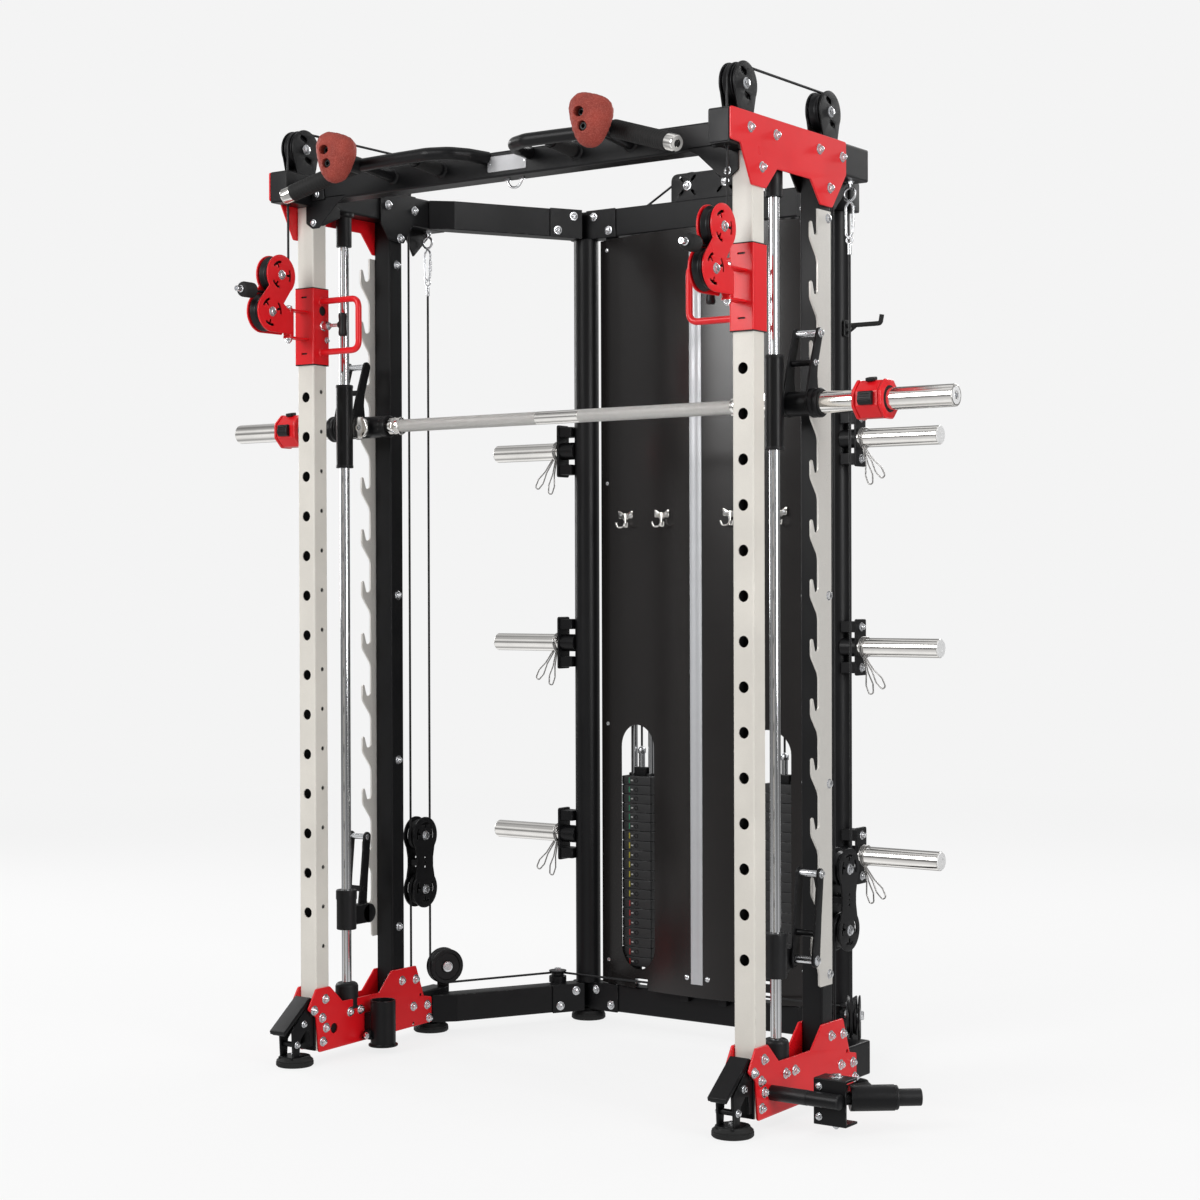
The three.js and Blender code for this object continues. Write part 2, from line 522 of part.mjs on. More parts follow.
function rearColumn(side) {
  const x = side * COLUMN.x;
  const zs = [REAR_Z[1] + GAP, TOP_Z[0] - GAP];
  const tube = rod([x, COLUMN.y, zs[0]], [x, COLUMN.y, zs[1]], COLUMN.r, 14);
  const bore = rod([x, COLUMN.y, zs[0] - 1], [x, COLUMN.y, zs[1] + 1], COLUMN.r - COLUMN.wall, 14);
  const horns = HORN.z.map((z) => join(
    rod([x + side * 20, HORN.y, z], [side * HORN.x[1], HORN.y, z], HORN.r, 12),
    box([side * 465, side * 471], [HORN.y - 26, HORN.y + 26], [z - 72, z + 72])));
  const hook = side === RIGHT ? [rod([x + 25, HORN.y, 1862], [534, HORN.y, 1862], 9, 10),
    rod([530, HORN.y, 1858], [534, HORN.y, 1884], 9, 10)] : [];
  return cut(join(tube, horns, hook), bore);
}

const shroudY = (x) => SHROUD.y + SHROUD.bow * (x / SHROUD.x) ** 2;

// a small double hook on the shroud: a foot, a plate with two wings, a stem and two bent prongs
function coatHook(x) {
  const face = shroudY(x);
  const { z, wing, prong } = COAT_HOOK;
  const wings = plateXZ([[x - wing, z + 22], [x - 6, z + 13], [x + 6, z + 13], [x + wing, z + 22],
    [x + wing, z], [x + 7, z - 5], [x - 7, z - 5], [x - wing, z]], [face - 8, face - 5]);
  const foot = box([x - 8, x + 8], [face - 6, face + 1.5], [z - 4, z + 14]);
  const low = [x, face - 10, z - 20];
  const stem = rod([x, face - 8, z + 12], low, 3.5, 6);
  const prongs = [-1, 1].map((way) => rod(low, [x + way * prong, face - 24, z - 14], 3, 6));
  return [wings, foot, stem, ...prongs];
}

function rearShroud() {
  const xs = Array.from({ length: 17 }, (_, i) => SHROUD.x * (i / 8 - 1));
  const front = xs.map((x) => [x, shroudY(x)]);
  const back = xs.map((x) => [x, shroudY(x) + SHROUD.t]).reverse();
  const sheet = plateXY([...front, ...back], SHROUD.z);
  const windows = SIDES.map(([, side]) => {
    const [inner, outer] = WINDOW.x.map((x) => side * x);
    const middle = (inner + outer) / 2;
    const radius = Math.abs(outer - inner) / 2;
    const ends = [WINDOW.z[0] + radius, WINDOW.z[1] - radius];
    const rounds = ends.map((z) => rod([middle, 790, z], [middle, 880, z], radius, 16));
    return join(rounds, box([inner, outer], [790, 880], ends));
  });
  const strip = box([-18, 18], [SHROUD.y - 4, SHROUD.y + 2], [SHROUD.z[0], 2125]);
  const tabs = SIDES.map(([, side]) => [
    box([side * 285, side * 325], [856, 882], [SHROUD.z[1] - 4, TOP_Z[0] - GAP]),
    box([side * 285, side * 325], [856, 866], [SHROUD.z[0] - 4, SHROUD.z[0] + 4]),
    box([side * 285, side * 325], [860, 882], [REAR_Z[1] + GAP, REAR_Z[1] + 8]),
    box([side * 285, side * 325], [860, 866], [REAR_Z[1] + GAP, SHROUD.z[0] + 4]),
  ]).flat();
  const hooks = SIDES.map(([, side]) => COAT_HOOK.x.map((x) => coatHook(side * x))).flat(2);
  return join(cut(sheet, windows), strip, tabs, hooks);
}

// ---- weight stacks -----------------------------------------------------------------------
// a pile of plates seen from the side; each plate's front and back faces draw in slightly
function platePile(side, zs) {
  const [front, back] = STACK.y;
  const count = Math.round((zs[1] - zs[0]) / STACK.pitch);
  const pitch = (zs[1] - zs[0]) / count;
  const up = [];
  for (let i = 0; i < count; i += 1) up.push([front, zs[0] + pitch * i], [front + 2, zs[0] + pitch * (i + 1)]);
  const down = up.map(([y, z]) => [front + back - y, z]).reverse();
  return plateYZ([...up, ...down], [side * (STACK.x - STACK.half), side * (STACK.x + STACK.half)]);
}

const stackRodX = (side) => [-1, 1].map((way) => side * STACK.x + way * STACK.rodOffset);

function weightStack(side) {
  const ends = [REAR_Z[1] + GAP, TOP_Z[0] - GAP];
  const rods = stackRodX(side).map((x) => rod([x, 892, ends[0]], [x, 892, ends[1]], STACK.rodR, 12));
  const buffer = box([side * (STACK.x - 40), side * (STACK.x + 40)], [870, 914], [130, STACK.z[0] + 1]);
  const stem = rod([side * STACK.x, REAR_CABLE_Y, 170], [side * STACK.x, REAR_CABLE_Y, STACK.z[1] + 1], 13, 12);
  return join(rods, buffer, cut(platePile(side, [STACK.z[0], STACK.z[1] - GAP]), stem));
}

function stackCarriage(side) {
  const pile = platePile(side, [STACK.z[1], STACK.z[2]]);
  const stem = rod([side * STACK.x, REAR_CABLE_Y, STACK.z[2] - 1], [side * STACK.x, REAR_CABLE_Y, 760], 9, 10);
  const lug = box([side * (STACK.x - 20), side * (STACK.x + 20)], [876, 898], [STACK.z[2] - 1, 704]);
  const bores = stackRodX(side).map((x) => rod([x, 892, 500], [x, 892, 720], STACK.rodR + 1.2, 12));
  return cut(join(pile, stem, lug), bores);
}

// ---- barbell and its carriage ------------------------------------------------------------
const SLEEVE_Z = [1504, 1717];
const JOURNAL_END = HALF_SPAN - 4.1;

function barSleeve(side) {
  const x = side * ROD.x;
  const tube = rod([x, ROD.y, SLEEVE_Z[0]], [x, ROD.y, SLEEVE_Z[1]], 22);
  const bore = rod([x, ROD.y, SLEEVE_Z[0] - 1], [x, ROD.y, SLEEVE_Z[1] + 1], ROD_BORE + 0.4);
  const housing = rod([side * 537, BAR.y, BAR.z], [side * JOURNAL_END, BAR.y, BAR.z], BAR.hubR, 14);
  const web = box([side * 621, side * JOURNAL_END], [ROD.y, BAR.y], [BAR.z - 26, BAR.z + 26]);
  const cap = rod([side * 603, 150, BAR.z - 3], [side * 603, BAR.y - 16, BAR.z - 3], 28.5, 14);
  const barBore = rod([side * 500, BAR.y, BAR.z], [side * 650, BAR.y, BAR.z], BAR.shaftR + 0.9, 16);
  return cut(join(tube, housing, web, cap), bore, barBore);
}

// where a point of a link lies: u across it, v along it, angle from straight up to the back
function linkPoint([y, z], angle) {
  const a = radians(angle);
  return ([u, v]) => [y + u * Math.cos(a) + v * Math.sin(a), z - u * Math.sin(a) + v * Math.cos(a)];
}

// a flat link with round ends; each station is [across, along, half width]
function link(xs, place, stations) {
  const round = ([u, v, r], from) => [0, 45, 90, 135, 180].map((turn) => {
    const angle = radians(from + turn);
    return [u + r * Math.cos(angle), v + r * Math.sin(angle)];
  });
  const between = stations.slice(1, -1);
  const right = between.map(([u, v, r]) => [u + r, v]);
  const left = between.map(([u, v, r]) => [u - r, v]).reverse();
  const points = [...round(stations[0], 180), ...right, ...round(stations.at(-1), 0), ...left];
  return plateYZ(points.map(place), xs);
}

function hookPair(side) {
  const stations = [[0, 0, 30], [-9, 62, 17], [-9, 92, 14], [0, HOOK.reach, 13]];
  const at = [BAR.y, BAR.z];
  const place = linkPoint(at, HOOK.angle);
  const plates = HOOK.x.map((x) => link([side * (x - 3), side * (x + 3)], place, stations));
  const reach = [side * HOOK.x[0], side * (HOOK.x[1] + 8)];
  const across = (point, r) => rod([reach[0], ...place(point)], [reach[1], ...place(point)], r, 8);
  return join(plates, across([-9, 92], 7), across([0, HOOK.reach], HOOK.pinR));
}

function barbell() {
  const at = (x) => [x, BAR.y, BAR.z];
  const across = (side, a, b, r, sides = 16) => rod(at(side * a), at(side * b), r, sides);
  const shaft = across(RIGHT, -BAR.end + 60, BAR.end - 60, BAR.shaftR);
  const perSide = SIDES.map(([, side]) => {
    const end = turned([[0, 731], [BAR.sleeveR, 731], [BAR.sleeveR, 1060], [22, BAR.end], [14, BAR.end],
      [14, 1054], [0, 1054]], [0, BAR.y, BAR.z], [side, 0, 0], 16);
    return join(across(side, 497, 530, 23), across(side, JOURNAL_END + 1, 707, BAR.hubR, 14),
      across(side, 706, 732, 33.5, 14), end, hookPair(side));
  });
  return join(shaft, perSide);
}

function collar(side) {
  const centre = 865;
  const bore = BAR.sleeveR + 0.6;
  const profile = [[bore, -37], [44, -37], [47.5, -32], [47.5, 32], [44, 37], [bore, 37], [bore, -37]];
  const ring = turned(profile, [side * centre, BAR.y, BAR.z], [1, 0, 0], 16);
  const leverX = [side * (centre - 14), side * (centre + 30)];
  const lever = box(leverX, [BAR.y - 56, BAR.y - 40], [BAR.z - 14, BAR.z + 14]);
  return join(ring, lever);
}

// ---- safety stops ------------------------------------------------------------------------
function stopSleeve(side) {
  const x = side * ROD.x;
  const tube = rod([x, ROD.y, 318], [x, ROD.y, 420], 27);
  const bore = rod([x, ROD.y, 300], [x, ROD.y, 440], ROD_BORE + 0.4);
  const web = box([side * 622, side * 646.6], [ROD.y, STOP.y], [STOP.z - 24, STOP.z + 26]);
  const hub = rod([side * 622, STOP.y, STOP.z], [side * 646.6, STOP.y, STOP.z], 25, 16);
  const pivot = rod([side * 640, STOP.y, STOP.z], [side * 714, STOP.y, STOP.z], 8, 12);
  const head = rod([side * 708, STOP.y, STOP.z], [side * 716, STOP.y, STOP.z], 12, 6);
  return join(cut(join(tube, web, hub), bore), pivot, head);
}

function stopArm(side) {
  const stations = [[0, 0, 16], [0, STOP.reach * 0.5, 13], [0, STOP.reach, 13]];
  const at = [STOP.y, STOP.z];
  const place = linkPoint(at, STOP.angle);
  const plates = STOP.x.map((x) => link([side * (x - 3), side * (x + 3)], place, stations));
  const reach = STOP.x.map((x) => side * x);
  const across = (along) => rod([reach[0], ...place([0, along])], [reach[1], ...place([0, along])], HOOK.pinR, 8);
  const bore = rod([side * 640, ...at], [side * 720, ...at], 8.9, 10);
  return cut(join(plates, across(60), across(STOP.reach)), bore);
}

// ---- pulley carriages --------------------------------------------------------------------
const LUG_Z = [[SWIVEL_BARREL_Z[0] - GAP - 5, SWIVEL_BARREL_Z[0] - GAP],
  [SWIVEL_BARREL_Z[1] + GAP, SWIVEL_BARREL_Z[1] + GAP + 5]];

function carriageHandle(side) {
  const [low, high] = HANDLE.z;
  const bend = [[-HANDLE.reach + 30, 0], [-HANDLE.reach + 10, 8], [-HANDLE.reach, 28]];
  const upper = [[-29, high], ...bend.map(([out, drop]) => [out, high - drop])];
  const lower = [...bend.map(([out, drop]) => [out, low + drop]).reverse(), [-29, low]];
  return sweep([...upper, ...lower].map(([out, z]) => [sideX(side, out), HANDLE.y, z]), HANDLE.r, 8);
}

function pulleyCarriage(side) {
  const shell = box(sideRange(side, -31, 31), [-5.5, 54.5], CARRIAGE_Z);
  const bore = box(sideRange(side, -28, 28), [-1, 50], [CARRIAGE_Z[0] - 1, CARRIAGE_Z[1] + 1]);
  const slots = [1786, 1928].map((z) => box(sideRange(side, -10, 10), [-7, 0], [z - 2, z + 2]));
  const windowHole = rod([sideX(side, -33), 30, 1895], [sideX(side, -26), 30, 1895], 12.5, 10);
  const lugs = LUG_Z.map((zs) => box(sideRange(side, -14, 14), [-75, -5], zs));
  const onAxis = (z) => [side * HALF_SPAN, FRONT_CABLE_Y, z];
  const pivot = rod(onAxis(LUG_Z[0][0] - 3), onAxis(LUG_Z[1][1] + 3), 6, 12);
  const barrel = rod([sideX(side, -30), SIDE_HOLE.y, PIN_Z], [sideX(side, -55), SIDE_HOLE.y, PIN_Z], 11, 10);
  const pinHole = rod([sideX(side, -20), SIDE_HOLE.y, PIN_Z], [sideX(side, -60), SIDE_HOLE.y, PIN_Z], 5.6, 12);
  return join(cut(join(shell, carriageHandle(side), lugs, barrel), bore, slots, windowHole, pinHole), pivot);
}

function popPin(side) {
  const at = (out) => [sideX(side, out), SIDE_HOLE.y, PIN_Z];
  const stem = rod(at(-28.5), at(-92), 4.8, 12);
  const knob = join(
    rod([sideX(side, -100), SIDE_HOLE.y, PIN_Z - 29], [sideX(side, -100), SIDE_HOLE.y, PIN_Z + 29], 11, 12),
    rod(at(-88), at(-100), 9, 12));
  return join(stem, knob);
}

function swivelFrame(side) {
  const [near, far] = SWIVEL.plate;
  const [uy, uz] = SWIVEL.upper;
  const [ly, lz] = SWIVEL.lower;
  const lobe = ([y, z], from, to) => arc([0, y, z], BACK, UP, SWIVEL.r, from, to).map((p) => p.slice(1));
  const neck = [[-108, 1832], [-66, 1830], [-66, 1876], [-99, 1902]];
  const points = [...lobe([uy, uz], -50, 215), ...lobe([ly, lz], 130, 300), ...neck];
  const plates = [-1, 1].map((face) => plateYZ(points, sideRange(side, face * near, face * far)));
  const axles = [SWIVEL.upper, SWIVEL.lower].map(([y, z]) => axle(side, 25, y, z));
  const web = box(sideRange(side, -far, far), [-88, -66], [1832, 1882]);
  const barrel = rod([side * HALF_SPAN, FRONT_CABLE_Y, SWIVEL_BARREL_Z[0]],
    [side * HALF_SPAN, FRONT_CABLE_Y, SWIVEL_BARREL_Z[1]], 13, 12);
  const bore = rod([side * HALF_SPAN, FRONT_CABLE_Y, 1800], [side * HALF_SPAN, FRONT_CABLE_Y, 1900], 6.7, 12);
  return cut(join(plates, axles, web, barrel), bore);
}

// the stopper ball, with the stretch of cable that turns round with the swivel
function ballStop(side) {
  const x = side * HALF_SPAN;
  const [y, z] = SWIVEL.upper;
  const wrap = arc([x, y, z], [0, 1, 0], UP, SHEAVE.wrap, -90, 0);
  const lead = sweep([[x, -190, z - SHEAVE.wrap], ...wrap, [x, FRONT_CABLE_Y, z + 6]], CABLE_R);
  const ball = turned([[0, 0], [14, 0], [19, 6], [19, 38], [13, 44], [7, 46], [7, 62], [0, 62]],
    [x, -185, z - SHEAVE.wrap], [0, -1, 0], 16);
  return join(lead, ball);
}

// ---- cables ------------------------------------------------------------------------------
function upperCable(side) {
  const x = side * HALF_SPAN;
  const run = [
    [x, FRONT_CABLE_Y, SWIVEL.upper[1] + 6 + GAP],
    ...arc([x, FRONT_SHEAVE_Y, TOP_SHEAVE_Z], BACK, UP, SHEAVE.wrap, 180, 90),
    ...arc([x, BACK_SHEAVE_Y, TOP_SHEAVE_Z], BACK, UP, SHEAVE.wrap, 90, 0),
    ...arc([x, FLOAT.y, FLOAT.z[1]], BACK, UP, FLOAT_SHEAVE.wrap, 180, 360),
    [x, FLOAT_CABLE_Y[1], LINK_Z],
  ];
  const linkBody = rod([x, FLOAT_CABLE_Y[1], LINK_Z - 2], [x, FLOAT_CABLE_Y[1], EYE_Z - 18 - GAP], 5, 8);
  return join(sweep(run, CABLE_R), linkBody);
}

function lowerCable(side) {
  const x = side * HALF_SPAN;
  const way = INWARD_BACK(side);
  const out = [side, 0, 0];
  const roller = cornerRoller(side);
  const [lowWheel, topWheel, stackWheel] = [TURN_SHEAVES.low, TURN_SHEAVES.top, TURN_SHEAVES.stack];
  const drop = Math.atan2(topWheel[1] - stackWheel[1], stackWheel[0] - topWheel[0]);
  const leave = 90 - THREE.MathUtils.radToDeg(drop);
  const run = [
    [x, FLOAT_CABLE_Y[0], BASE_Z[1] + GAP],
    ...arc([x, FLOAT.y, FLOAT.z[0]], BACK, UP, FLOAT_SHEAVE.wrap, 180, 0),
    ...arc(lowSheaveAt(side), way, UP, SHEAVE.wrap, 180, 270),
    ...arc([...roller, LOW_RUN_Z], out, BACK, CORNER_WRAP, LOW_TURN, 90),
    ...arc([side * lowWheel[0], REAR_RUN_Y, lowWheel[1]], out, UP, REAR_SHEAVE.wrap, 270, 180),
    ...arc([side * topWheel[0], REAR_CABLE_Y, topWheel[1]], out, UP, REAR_SHEAVE.wrap, 180, leave),
    ...arc([side * stackWheel[0], REAR_CABLE_Y, stackWheel[1]], out, UP, REAR_SHEAVE.wrap, leave, 0),
    [side * STACK.x, REAR_CABLE_Y, 760 + GAP],
  ];
  return sweep(run, CABLE_R);
}

// ---- float blocks ------------------------------------------------------------------------
function floatBlock(side) {
  const [low, high] = FLOAT.z;
  const round = (z, from, to) => arc([0, FLOAT.y, z], BACK, UP, 50, from, to).map((p) => p.slice(1));
  const points = [...round(high, 0, 180), ...round(low, 180, 360)];
  const cheeks = [-1, 1].map((face) => plateYZ(points, sideRange(side, face * 14, face * 18)));
  const axles = FLOAT.z.map((z) => axle(side, 23, FLOAT.y, z));
  const spacer = box(sideRange(side, -15, 15), [FLOAT.y - 8, FLOAT.y + 8], [450, 470]);
  return join(cheeks, axles, spacer);
}

// ---- assembly ----------------------------------------------------------------------------
const ACROSS = [1, 0, 0];

SIDES.forEach(([name, side]) => {
  const x = side * HALF_SPAN;
  const base = side === LEFT ? join(baseSide(side), barCup()) : join(baseSide(side), landmineBracket());
  addPiece(`base_side_${name}`, base, BLACK);
  addPiece(`front_upright_${name}`, frontUpright(side), CREAM);
  addPiece(`rear_upright_${name}`, rearUpright(side), BLACK);
  addPiece(`top_side_${name}`, topSide(side), BLACK);
  addPiece(`climbing_hold_${name}`, climbingHold(side), HOLD_RED);
  addPiece(`guide_rod_${name}`, guideRod(side), CHROME);
  addPiece(`rear_column_${name}`, rearColumn(side), BLACK);
  addPiece(`weight_stack_${name}`, weightStack(side), CAST_IRON);
  addPiece(`upper_cable_${name}`, upperCable(side), RUBBER);
  addPiece(`lower_cable_${name}`, lowerCable(side), RUBBER);
  addPiece(`bar_sleeve_${name}`, barSleeve(side), BLACK);
  addPiece(`collar_${name}`, collar(side), RED);
  addPiece(`stop_sleeve_${name}`, stopSleeve(side), BLACK);
  addPiece(`stop_arm_${name}`, stopArm(side), STEEL);
  addPiece(`pulley_carriage_${name}`, pulleyCarriage(side), RED);
  addPiece(`pop_pin_${name}`, popPin(side), BLACK);
  addPiece(`swivel_${name}`, swivelFrame(side), RED);
  addPiece(`ball_stop_${name}`, ballStop(side), RUBBER);
  addPiece(`swivel_wheel_upper_${name}`, sheave(SHEAVE, [x, ...SWIVEL.upper], ACROSS), SHEAVE_PLASTIC);
  addPiece(`swivel_wheel_lower_${name}`, sheave(SHEAVE, [x, ...SWIVEL.lower], ACROSS), SHEAVE_PLASTIC);
  [['front', FRONT_SHEAVE_Y], ['back', BACK_SHEAVE_Y]].forEach(([end, y]) => {
    addPiece(`top_wheel_${end}_${name}`, sheave(SHEAVE, [x, y, TOP_SHEAVE_Z], ACROSS), SHEAVE_PLASTIC);
  });
  addPiece(`float_block_${name}`, floatBlock(side), BLACK);
  addPiece(`float_wheel_lower_${name}`, sheave(FLOAT_SHEAVE, [x, FLOAT.y, FLOAT.z[0]], ACROSS), SHEAVE_PLASTIC);
  addPiece(`float_wheel_upper_${name}`, sheave(FLOAT_SHEAVE, [x, FLOAT.y, FLOAT.z[1]], ACROSS), SHEAVE_PLASTIC);
  const way = INWARD_BACK(side);
  addPiece(`low_wheel_${name}`, sheave(SHEAVE, lowSheaveAt(side), [way[1], -way[0], 0]), SHEAVE_PLASTIC);
  addPiece(`stack_carriage_${name}`, stackCarriage(side), CAST_IRON);
});

addPiece('pullup_bar', pullupBar(), BLACK);
addPiece('rear_top_frame', rearTopFrame(), BLACK);
addPiece('rear_bottom_frame', rearBottomFrame(), BLACK);
addPiece('rear_shroud', rearShroud(), BLACK);
addPiece('barbell', barbell(), CHROME);
addPiece('landmine_arm', landmineArm(), BLACK);

// the origin stands on the floor under the middle of the machine
const extent = new THREE.Box3().setFromObject(group);
const middleY = (extent.min.y + extent.max.y) / 2;
group.children.forEach((mesh) => mesh.geometry.translate(0, -middleY, 0));

export default group;
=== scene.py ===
"""A smith machine: the finished look of each sub-part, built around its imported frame.

Shapes are drawn in millimetres: x to the right, y = 0 on the front of the front uprights, z up
from the floor. place() turns such a point into the frame's metres.
"""
import math
from functools import partial

import bmesh
import bpy
from mathutils import Matrix, Vector, noise
from mathutils.geometry import tessellate_polygon


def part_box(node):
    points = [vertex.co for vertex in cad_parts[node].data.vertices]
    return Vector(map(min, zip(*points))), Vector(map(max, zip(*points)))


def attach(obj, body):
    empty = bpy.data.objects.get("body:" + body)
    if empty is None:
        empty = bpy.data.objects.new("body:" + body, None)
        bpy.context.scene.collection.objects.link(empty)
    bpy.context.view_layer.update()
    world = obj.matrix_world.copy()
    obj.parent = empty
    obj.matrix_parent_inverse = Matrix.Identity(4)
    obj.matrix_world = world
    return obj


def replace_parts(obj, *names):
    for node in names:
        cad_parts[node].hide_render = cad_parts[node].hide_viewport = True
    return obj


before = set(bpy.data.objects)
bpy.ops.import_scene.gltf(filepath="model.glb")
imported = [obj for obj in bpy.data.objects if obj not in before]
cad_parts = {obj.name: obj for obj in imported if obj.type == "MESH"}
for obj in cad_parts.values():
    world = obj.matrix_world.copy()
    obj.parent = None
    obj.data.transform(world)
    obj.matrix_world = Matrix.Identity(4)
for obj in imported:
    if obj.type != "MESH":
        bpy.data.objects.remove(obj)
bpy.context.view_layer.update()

MM = 0.001
GAP = 0.3           # between the pieces of two nodes that meet
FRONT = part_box("front_upright_left")[0][1]
SIDES = (("left", -1), ("right", 1))
X, Y, Z = Vector((1, 0, 0)), Vector((0, 1, 0)), Vector((0, 0, 1))

# ---- main places, as in the frame ---------------------------------------------------------
HALF_SPAN = 645
TUBE_W, TUBE_D, WALL = 54, 49, 2.5
BEAM_HALF = 27.3
PLATE = 5
BASE_Z, REAR_Z, TOP_Z = (36, 117), (29, 103), (2155, 2232)
BEAM_END_Y = 525
FRONT_Y = -97
REAR_UPRIGHT_Y = 320.5
HOLE_R, HOLE_Z, HOLE_PITCH, HOLE_COUNT = 13, 377, 100, 16
SIDE_HOLE_Y, SIDE_HOLE_Z = 28, 291
ROD_X, ROD_Y, ROD_R, ROD_Z = 641, 141.5, 12.5, (182, 2071)
ROD_BORE = ROD_R + 0.8
BAR_Y, BAR_Z, BAR_END = 199, 1610, 1064
HOOK_REACH, HOOK_TILT = 163.7, 11.6
STOP_Y, STOP_Z, STOP_REACH, STOP_TILT = 211, 352.5, 195, 6.2
CABLE_R = 3
FRONT_CABLE_Y = -62
WRAP, FLOAT_WRAP, REAR_WRAP = 45.5, 40, 36.5
TOP_SHEAVE_Z = 2295
FRONT_SHEAVE_Y = FRONT_CABLE_Y + WRAP
BACK_SHEAVE_Y = 358
FLOAT_Y = BACK_SHEAVE_Y + WRAP + FLOAT_WRAP
FLOAT_Z = (388, 532)
FLOAT_CABLE_Y = (FLOAT_Y - FLOAT_WRAP, FLOAT_Y + FLOAT_WRAP)
EYE_Z, LINK_Z = 2124, 2003
SWIVEL_UPPER, SWIVEL_LOWER = (FRONT_CABLE_Y - WRAP, 1972), (-141, 1878)
CARRIAGE_Z, PIN_Z = (1757, 1952), 1856
LOW_TURN, LOW_SHEAVE_Z = 26.7, 171
LOW_RUN_Z = LOW_SHEAVE_Z - WRAP
REAR_RUN_Y, REAR_CABLE_Y, CORNER_WRAP = 830.5, 887, 19.5
LOW_WHEEL, TOP_WHEEL, STACK_WHEEL = (60, LOW_RUN_Z + REAR_WRAP), (60, 2272), (189.5, 2200)
COLUMN_X, COLUMN_Y, COLUMN_R = 396, 870, 34
HORN_Y, HORN_R, HORN_Z = 856, 24, (510, 1041, 1573)
SHROUD_X, SHROUD_Y, SHROUD_BOW, SHROUD_Z = 342, 811, 61, (140, 2149)
WINDOW_X, WINDOW_Z = (142, 268), (158, 822)
STACK_X, STACK_ROD_OFFSET, STACK_ROD_Y = 226, 28, 892
GRIP_Z = 2214
PULLUP_X, PULLUP_Y, PULLUP_Z = 617.4, (-5, 55), (2165, 2226)
HOLD_X, HOLD_Y, HOLD_Z = 372, -158, 2222
PEG_Y, PEG_Z = 62, 78.5


def place(point):
    """A drawing point in the frame's metres."""
    return (point[0] * MM, point[1] * MM + FRONT, point[2] * MM)


# ---- outlines -------------------------------------------------------------------------------
def rectangle(us, vs):
    (u0, u1), (v0, v1) = sorted(us), sorted(vs)
    return [(u0, v0), (u1, v0), (u1, v1), (u0, v1)]


def circle(centre, radius, count=28):
    turns = (2 * math.pi * i / count for i in range(count))
    return [(centre[0] + radius * math.cos(t), centre[1] + radius * math.sin(t)) for t in turns]


def arc2(centre, radius, start, end, step=9):
    """Points on an arc, angles in degrees from u towards v."""
    count = max(2, round(abs(end - start) / step))
    turns = (math.radians(start + (end - start) * i / count) for i in range(count + 1))
    return [(centre[0] + radius * math.cos(t), centre[1] + radius * math.sin(t)) for t in turns]


def oval(centre, length, width, angle=0):
    """A straight slot with round ends."""
    half, a = (length - width) / 2, math.radians(angle)
    along = (half * math.cos(a), half * math.sin(a))
    ends = [(centre[0] + s * along[0], centre[1] + s * along[1]) for s in (1, -1)]
    return arc2(ends[0], width / 2, angle - 90, angle + 90) + arc2(ends[1], width / 2, angle + 90,
                                                                   angle + 270)


def rounded(points, radius, steps=4):
    """The outline with an arc in place of each corner."""
    result = []
    for i, point in enumerate(points):
        here = Vector(point)
        back, ahead = Vector(points[i - 1]) - here, Vector(points[(i + 1) % len(points)]) - here
        angle = back.angle(ahead, math.pi)
        reach = min(radius / max(math.tan(angle / 2), 0.05), back.length * 0.45,
                    ahead.length * 0.45)
        if reach < 0.1 or angle > 3.05:
            result.append(tuple(here))
            continue
        first, last = here + back.normalized() * reach, here + ahead.normalized() * reach
        for k in range(steps + 1):
            t = k / steps
            result.append(tuple(first * (1 - t) ** 2 + here * 2 * t * (1 - t) + last * t * t))
    return result


def panel(us, vs, radius, steps=4):
    """A rectangle with round corners."""
    return rounded(rectangle(us, vs), radius, steps)


def puck(radius, height):
    """The profile of a plain disc, nut or ring, for turned()."""
    return [(0, 0), (radius, 0), (radius, height), (0, height)]


def signed_area(points):
    return sum(a[0] * b[1] - b[0] * a[1] for a, b in zip(points, points[1:] + points[:1])) / 2


def inset(points, distance):
    """The outline moved to its left by distance."""
    result = []
    for i, (u, v) in enumerate(points):
        before, after = Vector(points[i - 1]), Vector(points[(i + 1) % len(points)])
        here = Vector((u, v))
        first, second = (here - before).normalized(), (after - here).normalized()
        left = Vector((-first.y - second.y, first.x + second.x))
        result.append(tuple(here + left * distance / max(1 + first.dot(second), 0.35)))
    return result


# ---- routes ---------------------------------------------------------------------------------
def arc3(centre, u, v, radius, start, end, step=6):
    """Points on an arc in space, angles in degrees from u towards v."""
    count = max(2, round(abs(end - start) / step))
    turns = (math.radians(start + (end - start) * i / count) for i in range(count + 1))
    return [Vector(centre) + u * (radius * math.cos(t)) + v * (radius * math.sin(t)) for t in turns]


def bent(points, radius, steps=7):
    """A bar's centre line through points, with a bend in place of each corner."""
    points = [Vector(p) for p in points]
    result = [points[0]]
    for before, here, after in zip(points, points[1:], points[2:]):
        back, ahead = before - here, after - here
        angle = back.angle(ahead)
        reach = min(radius / math.tan(angle / 2), back.length * 0.48, ahead.length * 0.48)
        first, last = here + back.normalized() * reach, here + ahead.normalized() * reach
        for k in range(steps + 1):
            t = k / steps
            result.append(first * (1 - t) ** 2 + here * 2 * t * (1 - t) + last * t * t)
    return result + [points[-1]]


# ---- solids ---------------------------------------------------------------------------------
CROSS = {"x": (1, 2, 0), "y": (0, 2, 1), "z": (0, 1, 2)}
WORN_WIDTH = 2.6    # bands of a turned piece narrower than this are its edges
TINY = 1e-6


